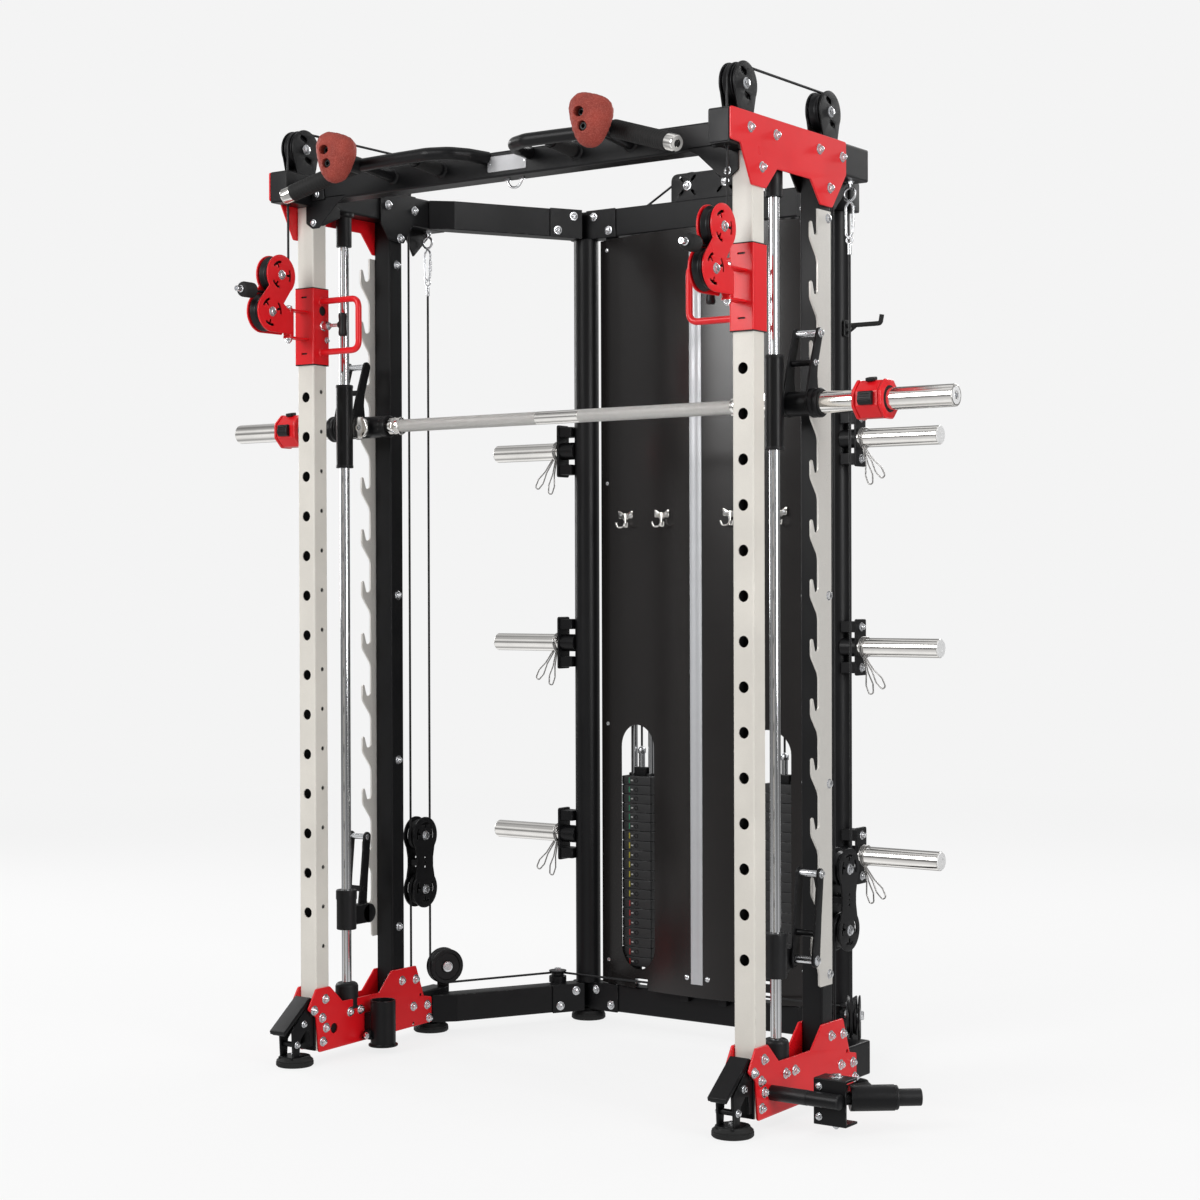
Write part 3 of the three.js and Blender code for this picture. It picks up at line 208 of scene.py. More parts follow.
def lift(axis, point, height):
    """The space point of an outline's point at a height along axis."""
    space = [0.0, 0.0, 0.0]
    u, v, w = CROSS[axis]
    space[u], space[v], space[w] = point[0], point[1], height
    return tuple(space)


def ring(centre, side, across, radius, sides):
    """Points round a centre, in the plane of two directions."""
    turns = (2 * math.pi * i / sides for i in range(sides))
    return [centre + side * (radius * math.cos(t)) + across * (radius * math.sin(t)) for t in turns]


class Solids:
    """Closed surfaces gathered as one list of points and faces."""

    def __init__(self):
        self.points, self.faces, self.worn = [], [], []

    def add(self, points, faces, worn):
        first = len(self.points)
        self.points.extend(tuple(p) for p in points)
        self.faces.extend([first + i for i in face] for face in faces)
        self.worn.extend(worn)

    def extrude(self, axis, outline, span, holes=(), chamfer=0.8):
        """A plate or bar: an outline with holes, drawn square to axis, over a span along it."""
        low, high = sorted(span)
        chamfer = min(chamfer, (high - low) / 3)
        loops = [outline if signed_area(outline) > 0 else outline[::-1]]
        loops += [hole[::-1] if signed_area(hole) > 0 else hole for hole in holes]
        levels = [(low, chamfer), (low + chamfer, 0), (high - chamfer, 0), (high, chamfer)]
        points, faces, worn = [], [], []
        rings = [[] for _ in levels]
        for loop in loops:
            for ring, (height, shift) in zip(rings, levels):
                start = len(points)
                points += [lift(axis, p, height) for p in (inset(loop, shift) if shift else loop)]
                ring.append(range(start, start + len(loop)))
            for k in range(3):
                lower, upper = rings[k][-1], rings[k + 1][-1]
                for i in range(len(loop)):
                    j = (i + 1) % len(loop)
                    faces.append((lower[i], lower[j], upper[j], upper[i]))
                    worn.append(0.0 if k == 1 else 1.0)
        flat = [[Vector((*p, 0)) for p in inset(loop, chamfer)] for loop in loops]
        triangles = tessellate_polygon(flat)
        for ring, flip in ((rings[0], True), (rings[3], False)):
            order = [i for part in ring for i in part]
            for triangle in triangles:
                corners = [order[i] for i in triangle]
                faces.append(corners[::-1] if flip else corners)
                worn.append(0.0)
        self.add(points, faces, worn)

    def turned(self, profile, at, axis, sides=36, worn_width=WORN_WIDTH):
        """A turned piece: (radius, distance) points along axis from at, ending on it or closed."""
        along = Vector(axis).normalized()
        side = along.orthogonal().normalized()
        across = along.cross(side)
        closed = profile[0] == profile[-1]
        stations = profile[:-1] if closed else profile
        points, rings = [], []
        for radius, height in stations:
            base = Vector(at) + along * height
            if radius < TINY:
                rings.append([len(points)] * sides)
                points.append(base)
                continue
            rings.append(range(len(points), len(points) + sides))
            points += ring(base, side, across, radius, sides)
        faces, worn = [], []
        pairs = list(zip(range(len(rings)), range(1, len(rings)))) + ([(len(rings) - 1,
                                                                        0)] if closed else [])
        for a, b in pairs:
            band = math.dist(stations[a], stations[b]) < worn_width
            for i in range(sides):
                j = (i + 1) % sides
                corners = list(dict.fromkeys((rings[a][i], rings[a][j], rings[b][j], rings[b][i])))
                if len(corners) > 2:
                    faces.append(corners)
                    worn.append(float(band))
        self.add(points, faces, worn)

    def rod(self, start, end, radius, sides=32, chamfer=0.8):
        """A round bar between two points, with broken edges."""
        length = (Vector(end) - Vector(start)).length
        c = min(chamfer, length / 3, radius / 2)
        profile = [(0, 0), (radius - c, 0), (radius, c), (radius, length - c), (radius - c, length),
                   (0, length)]
        self.turned(profile, start, Vector(end) - Vector(start), sides)

    def pipe(self, start, end, radius, bore, sides=32, chamfer=0.8):
        """A round tube between two points, open at both ends."""
        length = (Vector(end) - Vector(start)).length
        c = min(chamfer, (radius - bore) / 3)
        profile = [(bore, c), (bore + c, 0), (radius - c, 0), (radius, c), (radius, length - c),
                   (radius - c, length), (bore + c, length), (bore, length - c), (bore, c)]
        self.turned(profile, start, Vector(end) - Vector(start), sides)

    def sweep(self, route, radius, sides=14, closed=False):
        """A round bar or cord along a route."""
        route = [Vector(p) for p in route]
        count = len(route)
        tangents = []
        for i in range(count):
            ahead = route[(i + 1) % count] if closed or i + 1 < count else route[i]
            behind = route[i - 1] if closed or i else route[i]
            tangents.append((ahead - behind).normalized())
        side = tangents[0].orthogonal().normalized()
        points, faces = [], []
        for here, tangent in zip(route, tangents):
            side = (side - tangent * side.dot(tangent)).normalized()
            across = tangent.cross(side)
            points += ring(here, side, across, radius, sides)
        for k in range(count if closed else count - 1):
            low, high = k * sides, ((k + 1) % count) * sides
            for i in range(sides):
                j = (i + 1) % sides
                faces.append((low + i, low + j, high + j, high + i))
        if not closed:
            faces.append(tuple(range(sides))[::-1])
            faces.append(tuple(range((count - 1) * sides, count * sides)))
        self.add(points, faces, [0.0] * len(faces))

    def tube(self, axis, us, vs, span, wall=WALL, corner=5):
        """A rectangular tube, open at both ends."""
        (u0, u1), (v0, v1) = sorted(us), sorted(vs)
        bore = rectangle((u0 + wall, u1 - wall), (v0 + wall, v1 - wall))
        outline = panel(us, vs, corner)
        self.extrude(axis, outline, span, [rounded(bore, corner - wall)], chamfer=0.4)

    def block(self, xs, ys, zs, chamfer=1.0, corner=0):
        """A box with broken edges."""
        outline = rectangle(xs, ys)
        self.extrude("z", rounded(outline, corner) if corner else outline, zs, chamfer=chamfer)


NUT_SIZE = 8.2      # a plate nut; its washer has 1.5 times this for a radius
HEXAGON = 6


class Assembly:
    """What stands for one node: its solids by finish, on one body. A bore cuts one finish."""

    def __init__(self, node, body="frame"):
        self.name, self.body, self.nodes = node, body, (node,)
        self.solids, self.bores = {}, {}

    def __getitem__(self, finish):
        return self.solids.setdefault(finish, Solids())

    def bore(self, finish):
        return self.bores.setdefault(finish, Solids())

    def washer(self, at, way, size):
        profile = [(0, 0), (size * 1.5, 0), (size * 1.5, 1.4), (size * 1.4, 1.8), (0, 1.8)]
        self["zinc"].turned(profile, at, way, 24)

    def screw(self, at, way, size=NUT_SIZE):
        """A hexagon head on a washer, standing on a face that looks along way."""
        head = [(0, 1.6), (size * 1.12, 1.6), (size * 1.12, 6.4), (size * 0.92, 7.4), (0, 7.8)]
        self.washer(at, way, size)
        self["zinc"].turned(head, at, way, HEXAGON)

    def nut(self, at, way, size=NUT_SIZE):
        """A locking nut on a washer, with the bolt's end standing out of it."""
        body = [(0, 1.6), (size * 1.12, 1.6), (size * 1.12, 6.2), (size * 0.95, 7.4), (0, 7.4)]
        insert = [(0, 7), (size * 0.84, 7), (size * 0.84, 9), (size * 0.66, 10), (0, 10)]
        stud = [(0, 9), (size * 0.5, 9), (size * 0.5, 11.6), (size * 0.38, 12.4), (0, 12.4)]
        self.washer(at, way, size)
        self["zinc"].turned(body, at, way, HEXAGON)
        self["zinc"].turned(insert, at, way, 24)
        self["zinc"].turned(stud, at, way, 16)

    def finish(self):
        pieces = []
        for finish, solids in self.solids.items():
            piece = make_piece(f"{self.name}.{finish}", solids, finish)
            if finish in self.bores:
                cut_with(piece, self.bores[finish])
            smooth(piece)
            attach(piece, self.body)
            FINISHES[finish][0]
            pieces.append(piece)
        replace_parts(pieces[0], *self.nodes)


def make_mesh(name, solids):
    mesh = bpy.data.meshes.new(name)
    mesh.from_pydata([place(p) for p in solids.points], [], solids.faces)
    mesh.attributes.new("edge_wear", "FLOAT", "FACE").data.foreach_set("value", solids.worn)
    work = bmesh.new()
    work.from_mesh(mesh)
    bmesh.ops.recalc_face_normals(work, faces=work.faces)
    work.to_mesh(mesh)
    work.free()
    return mesh


def make_piece(name, solids, finish):
    piece = bpy.data.objects.new(name, make_mesh(name, solids))
    bpy.context.scene.collection.objects.link(piece)
    piece.data.materials.append(material(finish))
    return piece


def cut_with(piece, bores):
    """Cuts the bores out of the piece for good."""
    cutter = bpy.data.objects.new("cutter", make_mesh("cutter", bores))
    bpy.context.scene.collection.objects.link(cutter)
    boolean = piece.modifiers.new("bores", "BOOLEAN")
    boolean.operation, boolean.solver, boolean.object = "DIFFERENCE", "EXACT", cutter
    evaluated = piece.evaluated_get(bpy.context.evaluated_depsgraph_get())
    made = bpy.data.meshes.new_from_object(evaluated)
    piece.modifiers.clear()
    made.name = piece.name
    piece.data = made
    bpy.data.objects.remove(cutter)


SHARP = math.radians(52)


def smooth(piece):
    piece.data.shade_smooth()
    piece.data.set_sharp_from_angle(angle=SHARP)
    weighted = piece.modifiers.new("weighted", "WEIGHTED_NORMAL")
    weighted.keep_sharp = True


# ---- materials ------------------------------------------------------------------------------
class Nodes:
    """A material's node tree, with short calls for the nodes that every finish uses."""

    def __init__(self, name):
        self.material = bpy.data.materials.new(name)
        self.material.use_nodes = True
        self.tree = self.material.node_tree
        self.shader = self.tree.nodes["Principled BSDF"]
        self.coordinates = self.tree.nodes.new("ShaderNodeTexCoord").outputs["Object"]

    def node(self, kind, **settings):
        node = self.tree.nodes.new(kind)
        for key, value in settings.items():
            setattr(node, key, value)
        return node

    def link(self, source, target):
        self.tree.links.new(source, target)

    def feed(self, socket, value):
        if isinstance(value, bpy.types.NodeSocket):
            self.link(value, socket)
        else:
            socket.default_value = value

    def noise(self, scale, detail=3.0, roughness=0.55, stretch=None):
        node = self.node("ShaderNodeTexNoise")
        node.inputs["Scale"].default_value = scale
        node.inputs["Detail"].default_value = detail
        node.inputs["Roughness"].default_value = roughness
        vector = self.coordinates
        if stretch:
            mapping = self.node("ShaderNodeMapping")
            mapping.inputs["Scale"].default_value = stretch
            self.link(vector, mapping.inputs["Vector"])
            vector = mapping.outputs["Vector"]
        self.link(vector, node.inputs["Vector"])
        return node.outputs["Fac"]

    def remap(self, value, low, high, to_low=0.0, to_high=1.0):
        node = self.node("ShaderNodeMapRange")
        self.link(value, node.inputs["Value"])
        for key, number in zip(("From Min", "From Max", "To Min", "To Max"),
                               (low, high, to_low, to_high)):
            node.inputs[key].default_value = number
        return node.outputs["Result"]

    def math(self, operation, first, second=0.0):
        node = self.node("ShaderNodeMath", operation=operation)
        self.feed(node.inputs[0], first)
        self.feed(node.inputs[1], second)
        return node.outputs["Value"]

    def mix(self, factor, first, second):
        node = self.node("ShaderNodeMix", data_type="RGBA")
        self.feed(node.inputs["Factor"], factor)
        for socket, value in ((node.inputs["A"], first), (node.inputs["B"], second)):
            self.feed(socket, (*value, 1.0) if isinstance(value, tuple) else value)
        return node.outputs["Result"]

    def edge_wear(self):
        """How worn a face is: its own share, broken up along the edge."""
        attribute = self.node("ShaderNodeAttribute", attribute_name="edge_wear").outputs["Fac"]
        return self.math("MULTIPLY", attribute, self.remap(self.noise(55, 6), 0.52, 0.66))

    def bump(self, height, strength, distance):
        node = self.node("ShaderNodeBump")
        node.inputs["Strength"].default_value = strength
        node.inputs["Distance"].default_value = distance
        self.link(height, node.inputs["Height"])
        self.link(node.outputs["Normal"], self.shader.inputs["Normal"])

    def set(self, **inputs):
        for key, value in inputs.items():
            self.feed(self.shader.inputs[key.replace("_", " ")], value)


def shade(colour, factor):
    return tuple(min(1.0, c * factor) for c in colour)


def coated(name, colour, bare, roughness, grain, depth, coat=0.0, gloss=0.5, spread=0.05):
    """Powder coat or enamel: a fine skin texture, faint dust and edges rubbed towards bare."""
    nodes = Nodes(name)
    clouds = nodes.remap(nodes.noise(7, 4), 0.3, 0.7)
    skin = nodes.noise(grain, 2)
    tint = nodes.mix(clouds, shade(colour, 0.93), shade(colour, 1.07))
    fleck = nodes.mix(nodes.remap(skin, 0.35, 0.65, 0.0, 0.35), tint, shade(colour, 0.82))
    wear = nodes.edge_wear()
    nodes.set(Base_Color=nodes.mix(nodes.math("MULTIPLY", wear, 0.55), fleck, bare))
    smear = nodes.remap(nodes.noise(9, 3), 0.3, 0.7, roughness - spread, roughness + spread)
    nodes.set(Roughness=nodes.math("ADD", smear, nodes.math("MULTIPLY", wear, 0.08)),
              Coat_Weight=coat)
    nodes.set(Coat_Roughness=0.2, Specular_IOR_Level=gloss)
    nodes.bump(skin, depth, 0.0004)
    return nodes.material


def metal(name, colour, roughness, scratches, depth, streaks=None, metallic=1.0):
    """Bare or plated metal, with fine streaks and handling marks; satin where metallic is low."""
    nodes = Nodes(name)
    lines = nodes.noise(scratches, 4, 0.6, streaks)
    marks = nodes.remap(nodes.noise(11, 6), 0.35, 0.7)
    tint = nodes.mix(marks, shade(colour, 1.03), shade(colour, 0.9))
    nodes.set(Base_Color=nodes.mix(nodes.remap(lines, 0.35, 0.65, 0, 0.25), tint,
                                   shade(colour, 0.8)))
    spread = nodes.remap(lines, 0.3, 0.7, roughness * 0.7, roughness * 1.35)
    rough = nodes.math("ADD", spread, nodes.math("MULTIPLY", marks, roughness * 0.5))
    nodes.set(Roughness=rough, Metallic=metallic)
    nodes.bump(lines, depth, 0.0002)
    return nodes.material


def moulded(name, colour, roughness, grain, depth):
    """Moulded plastic or rubber: a spark-eroded grain and paler scuffs."""
    nodes = Nodes(name)
    skin = nodes.noise(grain, 3)
    scuffs = nodes.remap(nodes.noise(30, 7, 0.7), 0.56, 0.72)
    wear = nodes.math("MAXIMUM", nodes.math("MULTIPLY", scuffs, 0.35),
                      nodes.math("MULTIPLY", nodes.edge_wear(), 0.6))
    nodes.set(Base_Color=nodes.mix(nodes.math("MULTIPLY", wear, 0.35), colour, shade(colour, 2.2)))
    nodes.set(Roughness=nodes.remap(nodes.noise(13, 5), 0.3, 0.7, roughness - 0.07,
                                    roughness + 0.1))
    nodes.set(Specular_IOR_Level=0.32)
    nodes.bump(skin, depth, 0.0005)
    return nodes.material


def resin(name):
    """Cast climbing resin: a sandy skin with darker and paler grains."""
    nodes = Nodes(name)
    sand = nodes.noise(420, 4, 0.7)
    clouds = nodes.remap(nodes.noise(24, 5), 0.3, 0.7)
    base = nodes.mix(clouds, (0.21, 0.022, 0.014), (0.34, 0.04, 0.024))
    nodes.set(Base_Color=nodes.mix(nodes.remap(sand, 0.45, 0.7), base, (0.46, 0.1, 0.07)),
              Roughness=0.72)
    nodes.bump(sand, 0.75, 0.0012)
    return nodes.material


KNURL_PITCH, KNURL_RADIUS = 0.0014, 0.016     # metres


def knurled(name):
    """The bar's gripping surface: crossed spiral grooves around its axis."""
    nodes = Nodes(name)
    split = nodes.node("ShaderNodeSeparateXYZ")
    nodes.link(nodes.coordinates, split.inputs["Vector"])
    across = nodes.math("SUBTRACT", split.outputs["Y"], BAR_Y * MM + FRONT)
    above = nodes.math("SUBTRACT", split.outputs["Z"], BAR_Z * MM)
    turn = nodes.math("MULTIPLY", nodes.math("ARCTAN2", above, across), KNURL_RADIUS)
    turns = 2 * math.pi / KNURL_PITCH
    sine = [
        nodes.math("SINE", nodes.math("MULTIPLY", nodes.math(way, split.outputs["X"], turn), turns))
        for way in ("ADD", "SUBTRACT")
    ]
    diamonds = nodes.math("MULTIPLY", *[nodes.remap(s, -1, 1) for s in sine])
    dust = nodes.remap(nodes.noise(60, 5), 0.35, 0.7)
    tint = nodes.mix(dust, (0.86, 0.85, 0.82), (0.74, 0.73, 0.7))
    # the grooves between the diamonds are painted darker: painted shade in the knurl's recesses;
    # the dust tint is the bar's own
    nodes.set(Base_Color=nodes.mix(nodes.remap(diamonds, 0, 0.6), (0.58, 0.57, 0.55), tint))
    nodes.set(Roughness=nodes.remap(dust, 0, 1, 0.3, 0.4), Metallic=0.6)
    nodes.bump(diamonds, 0.9, 0.0004)
    return nodes.material


def grey(value):
    return (value, value, value)


red_coat = partial(coated, colour=(0.8, 0.008, 0.014), bare=(0.8, 0.1, 0.1), roughness=0.3,
                   grain=800, depth=0.05, coat=0.1, gloss=0.4, spread=0.03)
stack_mark = partial(coated, roughness=0.5, grain=500, depth=0.1)

# each finish: the record's slot that it belongs to, and what makes its material
FINISHES = {
    "black": ("black_paint", partial(coated, colour=(0.007, 0.007, 0.0078), bare=grey(0.09),
                                     roughness=0.36, grain=1500, depth=0.22, gloss=0.24)),
    "cream": ("cream_paint", partial(coated, colour=(0.78, 0.745, 0.68), bare=(0.55, 0.53, 0.5),
                                     roughness=0.36, grain=1100, depth=0.12)),
    "red": ("red_paint", red_coat),
    "red_bar": ("red_paint", red_coat),     # apart from "red", which has bores cut into it
    "resin": ("red_resin", resin),
    "chrome": ("chrome", partial(metal, colour=(0.93, 0.91, 0.88), roughness=0.09, scratches=90,
                                 depth=0.015, streaks=(1, 12, 12))),
    "rod_chrome": ("chrome", partial(metal, colour=(0.9, 0.91, 0.93), roughness=0.09, scratches=90,
                                     depth=0.01, streaks=(12, 12, 1))),
    "knurl": ("chrome", knurled),
    "steel": ("steel", partial(metal, colour=(0.8, 0.775, 0.73), roughness=0.33, scratches=120,
                               depth=0.12, streaks=(1, 1, 14), metallic=0.35)),
    "zinc": ("steel", partial(metal, colour=(0.8, 0.81, 0.83), roughness=0.2, scratches=300,
                              depth=0.08)),
    "wire": ("steel", partial(metal, colour=(0.42, 0.41, 0.4), roughness=0.22, scratches=300,
                              depth=0.05)),
    "aluminium": ("steel", partial(metal, colour=(0.62, 0.63, 0.65), roughness=0.33, scratches=260,
                                   depth=0.06, streaks=(14, 14, 1), metallic=0.5)),
    "plate": ("steel", partial(metal, colour=(0.42, 0.42, 0.43), roughness=0.42, scratches=240,
                               depth=0.08, streaks=(1, 12, 12), metallic=0.7)),
    "cap": ("chrome", partial(metal, colour=grey(0.88), roughness=0.4, scratches=200, depth=0.06,
                              metallic=0.2)),
    "cast": ("cast_iron", partial(coated, colour=(0.018, 0.018, 0.019), bare=grey(0.12),
                                  roughness=0.5, grain=700, depth=0.5)),
    "cable": ("cable_sheath", partial(moulded, colour=(0.012, 0.012, 0.013), roughness=0.42,
                                      grain=900, depth=0.2)),
    "plastic": ("black_plastic", partial(moulded, colour=(0.009, 0.009, 0.01), roughness=0.42,
                                         grain=1200, depth=0.3)),
    "nylon": ("sheave_plastic", partial(moulded, colour=(0.007, 0.007, 0.008), roughness=0.36,
                                        grain=600, depth=0.15)),
    "rubber": ("rubber", partial(moulded, colour=grey(0.013), roughness=0.66, grain=1000,
                                 depth=0.5)),
    "shroud": ("black_paint", partial(coated, colour=(0.015, 0.013, 0.0125), bare=grey(0.1),
                                      roughness=0.22, grain=900, depth=0.02, gloss=0.6,
                                      spread=0.012)),
    "mark": ("cast_iron", partial(stack_mark, colour=(0.4, 0.4, 0.39), bare=grey(0.3))),
    "mark_green": ("cast_iron", partial(stack_mark, colour=(0.02, 0.16, 0.08),
                                        bare=(0.1, 0.2, 0.1))),
    "mark_yellow": ("cast_iron", partial(stack_mark, colour=(0.34, 0.29, 0.02),
                                         bare=(0.3, 0.3, 0.1))),
    "mark_red": ("cast_iron", partial(stack_mark, colour=(0.3, 0.012, 0.012),
                                      bare=(0.3, 0.1, 0.1))),
}


def material(finish):
    found = bpy.data.materials.get(f"look_{finish}")
    return found or FINISHES[finish][1](f"look_{finish}")


# ---- places on a side frame -----------------------------------------------------------------
def out(side, distance):
    """x at a distance from a side frame's centre, away from the middle of the machine."""
    return side * (HALF_SPAN + distance)


def outs(side, first, second):
    return (out(side, first), out(side, second))


def side_point(side, distance, y, z):
    return (out(side, distance), y, z)


def mirror(side, first, second):
    """Two x, measured from the middle of the machine, on one side of it."""
    return (side * first, side * second)


def low_way(side):
    """The low pulley's plane: from straight back, turned towards the middle."""
    turn = math.radians(LOW_TURN)
    return Vector((-side * math.sin(turn), math.cos(turn), 0))


def low_axis(side):
    way = low_way(side)
    return Vector((side * way.y, side * -way.x, 0))


def low_sheave(side, along=0):
    base = Vector((side * HALF_SPAN, FLOAT_CABLE_Y[1], LOW_SHEAVE_Z))
    return base + low_way(side) * WRAP + low_axis(side) * along


def corner_roller(side):
    way, start = low_way(side), low_sheave(side)
    y = REAR_RUN_Y - CORNER_WRAP
    reach = (y + CORNER_WRAP * way.x * -side - start.y) / way.y
    return (start.x + way.x * reach - side * CORNER_WRAP * way.y, y)


# ---- base -----------------------------------------------------------------------------------
BASE_PLATE = [(4, 26), (-5, 115), (-35, 139), (-5, 187), (47, 187), (95, 142), (238, 142),
              (287, 192), (386, 192), (418, 107), (450, 101), (450, 33)]
BASE_BOLTS = [(28, 158), (-14, 135), (16, 112), (30, 85), (18, 52), (122, 111), (162, 111),
              (113, 46), (327, 161), (383, 157), (373, 86), (430, 82), (438, 46)]
BAR_CUP = (-569, 200)


def foot_pad(part, x, y):
    """A round rubber foot with a moulded step and rings."""
    profile = [(0, 0), (44, 0), (47, 3), (47, 11), (45.5, 12), (45.5, 13.5), (46, 15), (40, 20),
               (38.5, 24), (30, 24), (28, 22), (0, 22)]
    part["rubber"].turned(profile, (x, y, 0), Z, 48)


def front_foot(part, side):
    """The tilted front leg: a folded cover, two legs with a bolt, and the pad."""
    x = side * HALF_SPAN
    cover = [(-0.5, 158), (-22, 168), (-116, 94), (-113, 84), (-24, 152), (-0.5, 147)]
    part["black"].extrude("x", rounded(cover, 3), outs(side, -24, 24))
    part["black"].extrude("x", rounded([(-115, 95), (-108, 82), (-98, 92), (-104, 101)], 2),
                          outs(side, -21, 21))
    leg = [(-24, 150), (-84, 94), (-80, 20), (-58, 20), (-54, 66), (-34, 86), (-22, 84), (-20, 44),
           (-0.5, 44), (-0.5, 146)]
    for face in (-1, 1):
        part["black"].extrude("x", rounded(leg, 4), outs(side, face * 18, face * 23.5))
        part.screw((out(side, face * 23.5), -42, 104), (side * face, 0, 0), 6)
        part.screw((out(side, face * 23.5), -68, 56), (side * face, 0, 0), 6)
    part["black"].extrude("x", rounded([(-86, 20), (-20, 20), (-20, 26), (-86, 26)], 2),
                          outs(side, -23, 23))
    part["black"].rod(side_point(side, -20, -68, 56), side_point(side, 20, -68, 56), 7)
    part["black"].block(outs(side, -26, 26), (-20, -0.5), (118, 150), 2, 3)
    part["black"].block(outs(side, -27, 27), (-6, -0.5), (31, 120), 1, 2)
    part["zinc"].turned([(0, 0), (9, 0), (9, 3), (6, 5), (0, 5)], (x, -50, 26), Z, 20)
    foot_pad(part, x, -50)


def low_bracket(part, side):
    """The low pulley's outer disc, its strap down to the beam and the big axle bolt."""
    axis, way = low_axis(side), low_way(side)
    disc = [(0, 0), (44, 0), (48, 2), (48, 4.4), (46.5, 5), (14, 5), (14, 4.2), (0, 4.2)]
    part["black"].turned(disc, low_sheave(side, 15), axis, 56)
    hinge = low_sheave(side, 15)
    corners = [hinge - way * 17, hinge + way * 17, hinge + way * 17 + axis * 4.6,
               hinge - way * 17 + axis * 4.6]
    strap = [(c.x, c.y) for c in corners]
    part["black"].extrude("z", rounded(strap, 1.5), (30, LOW_SHEAVE_Z - 20), chamfer=0.6)
    part["zinc"].turned([(0, 0), (15, 0), (15, 1.6), (11.5, 2), (11.5, 7.5), (9, 9), (0, 9)],
                        low_sheave(side, 19.2), axis, 6)
    part["zinc"].turned(puck(17, 1.6), low_sheave(side, 19), axis, 28)
    part["zinc"].turned([(0, 0), (14, 0), (14, 2), (10, 2.4), (10, 4.6), (0, 4.6)],
                        low_sheave(side, -13.4), -axis, 24)
    part["zinc"].rod(low_sheave(side, -14), low_sheave(side, 20), 5)


def side_base(part, side):
    xs = outs(side, -BEAM_HALF, BEAM_HALF)
    part["black"].tube("y", xs, BASE_Z, (TUBE_D + GAP, BEAM_END_Y))
    part["plastic"].extrude("y", panel(outs(side, -25, 25), (38.5, 114.5), 4),
                            (BEAM_END_Y - 9, BEAM_END_Y + 2), chamfer=1.6)
    peg_hole = circle((PEG_Y, PEG_Z), HOLE_R)
    for face in (-1, 1):
        plate = rounded(BASE_PLATE, 6)
        small = [circle((405, 112), 4.5, 16), circle((375, 40), 4.5, 16)]
        part["red"].extrude("x", plate, outs(side, face * BEAM_HALF, face * (BEAM_HALF + PLATE)),
                            [peg_hole] + small, 0.9)
        for y, z in BASE_BOLTS:
            if side < 0 < face or (y, z) != (113, 46):
                part.nut(side_point(side, face * (BEAM_HALF + PLATE), y, z), (side * face, 0, 0))
    collar = [(0, BASE_Z[1]), (31, BASE_Z[1]), (31, 122), (29.5, 124), (29.5, 172), (27, 178),
              (23, 181), (14, ROD_Z[0]), (0, ROD_Z[0])]
    part["plastic"].turned(collar, (side * ROD_X, ROD_Y, 0), Z, 48)
    part["black"].turned([(0, 22), (16, 22), (16, 36.5), (0, 36.5)], (side * HALF_SPAN, 486, 0), Z,
                         32)
    part["zinc"].turned(puck(20, 5), (side * HALF_SPAN, 486, 28), Z, HEXAGON)
    foot_pad(part, side * HALF_SPAN, 486)
    front_foot(part, side)
    low_bracket(part, side)


def bar_cup(part):
    """The upright cup for a spare bar, clamped to the left side frame."""
    at = (*BAR_CUP, 0)
    cup = [(0, 16), (37, 16), (38, 17), (38, 20.5), (33.5, 21), (32.5, 23), (32.5, 133),
           (31.8, 134), (29.6, 134), (29, 133.3), (29, 24), (0, 24)]
    part["black"].turned(cup, at, Z, 56)
    part["black"].extrude("z", panel((-612.4, -590), (176, 224), 3), (40, 100))
    for z in (54, 86):
        part.screw((-601, 224, z), Y, 5.5)
    part["black"].extrude("z", panel((-608, -576), (160, 180), 3), (36, 42))
    part.screw((-590, 160, 46), (0, -1, 0), 6)
    part["black"].block((-600, -580), (160, 178), (36, 58), 1.5, 3)


CLEVIS_X, CLEVIS_Y, CLEVIS_Z, CLEVIS_PIN = (775, 855), (79, 130), (20, 122), (815, 106)


def landmine_bracket(part):
    """The peg in the side frame and the folded clevis on it, with the upright pin."""
    peg_start, peg_end = side_point(1, BEAM_HALF, PEG_Y, PEG_Z), (851, PEG_Y, PEG_Z)
    part["plastic"].rod(peg_start, (CLEVIS_X[0] - 4, PEG_Y, PEG_Z), 17, 40, 2)
    part["black"].rod((CLEVIS_X[0] - 6, PEG_Y, PEG_Z), peg_end, 16.5, 40, 2)
    part["plastic"].turned([(0, 0), (17, 0), (17, 3), (15, 4.5), (0, 5)], (846, PEG_Y, PEG_Z), X,
                           40)
    bottom, top = CLEVIS_Z
    front, back = CLEVIS_Y
    fold = [(front - 3, bottom), (back, bottom), (back, bottom + 6), (front + 3, bottom + 6),
            (front + 3, top - 6), (back, top - 6), (back, top), (front - 3, top)]
    part["black"].extrude("x", rounded(fold, 2.5), CLEVIS_X, chamfer=0.9)
    x, y = CLEVIS_PIN
    part["zinc"].rod((x, y, bottom - 4), (x, y, top + 2), 7)
    part.screw((x, y, top), Z, 10)
    part.nut((x, y, bottom), -Z, 8)
    for z in (38, 104):
        part.screw((CLEVIS_X[0] + 14, front - 3, z), -Y, 5.5)


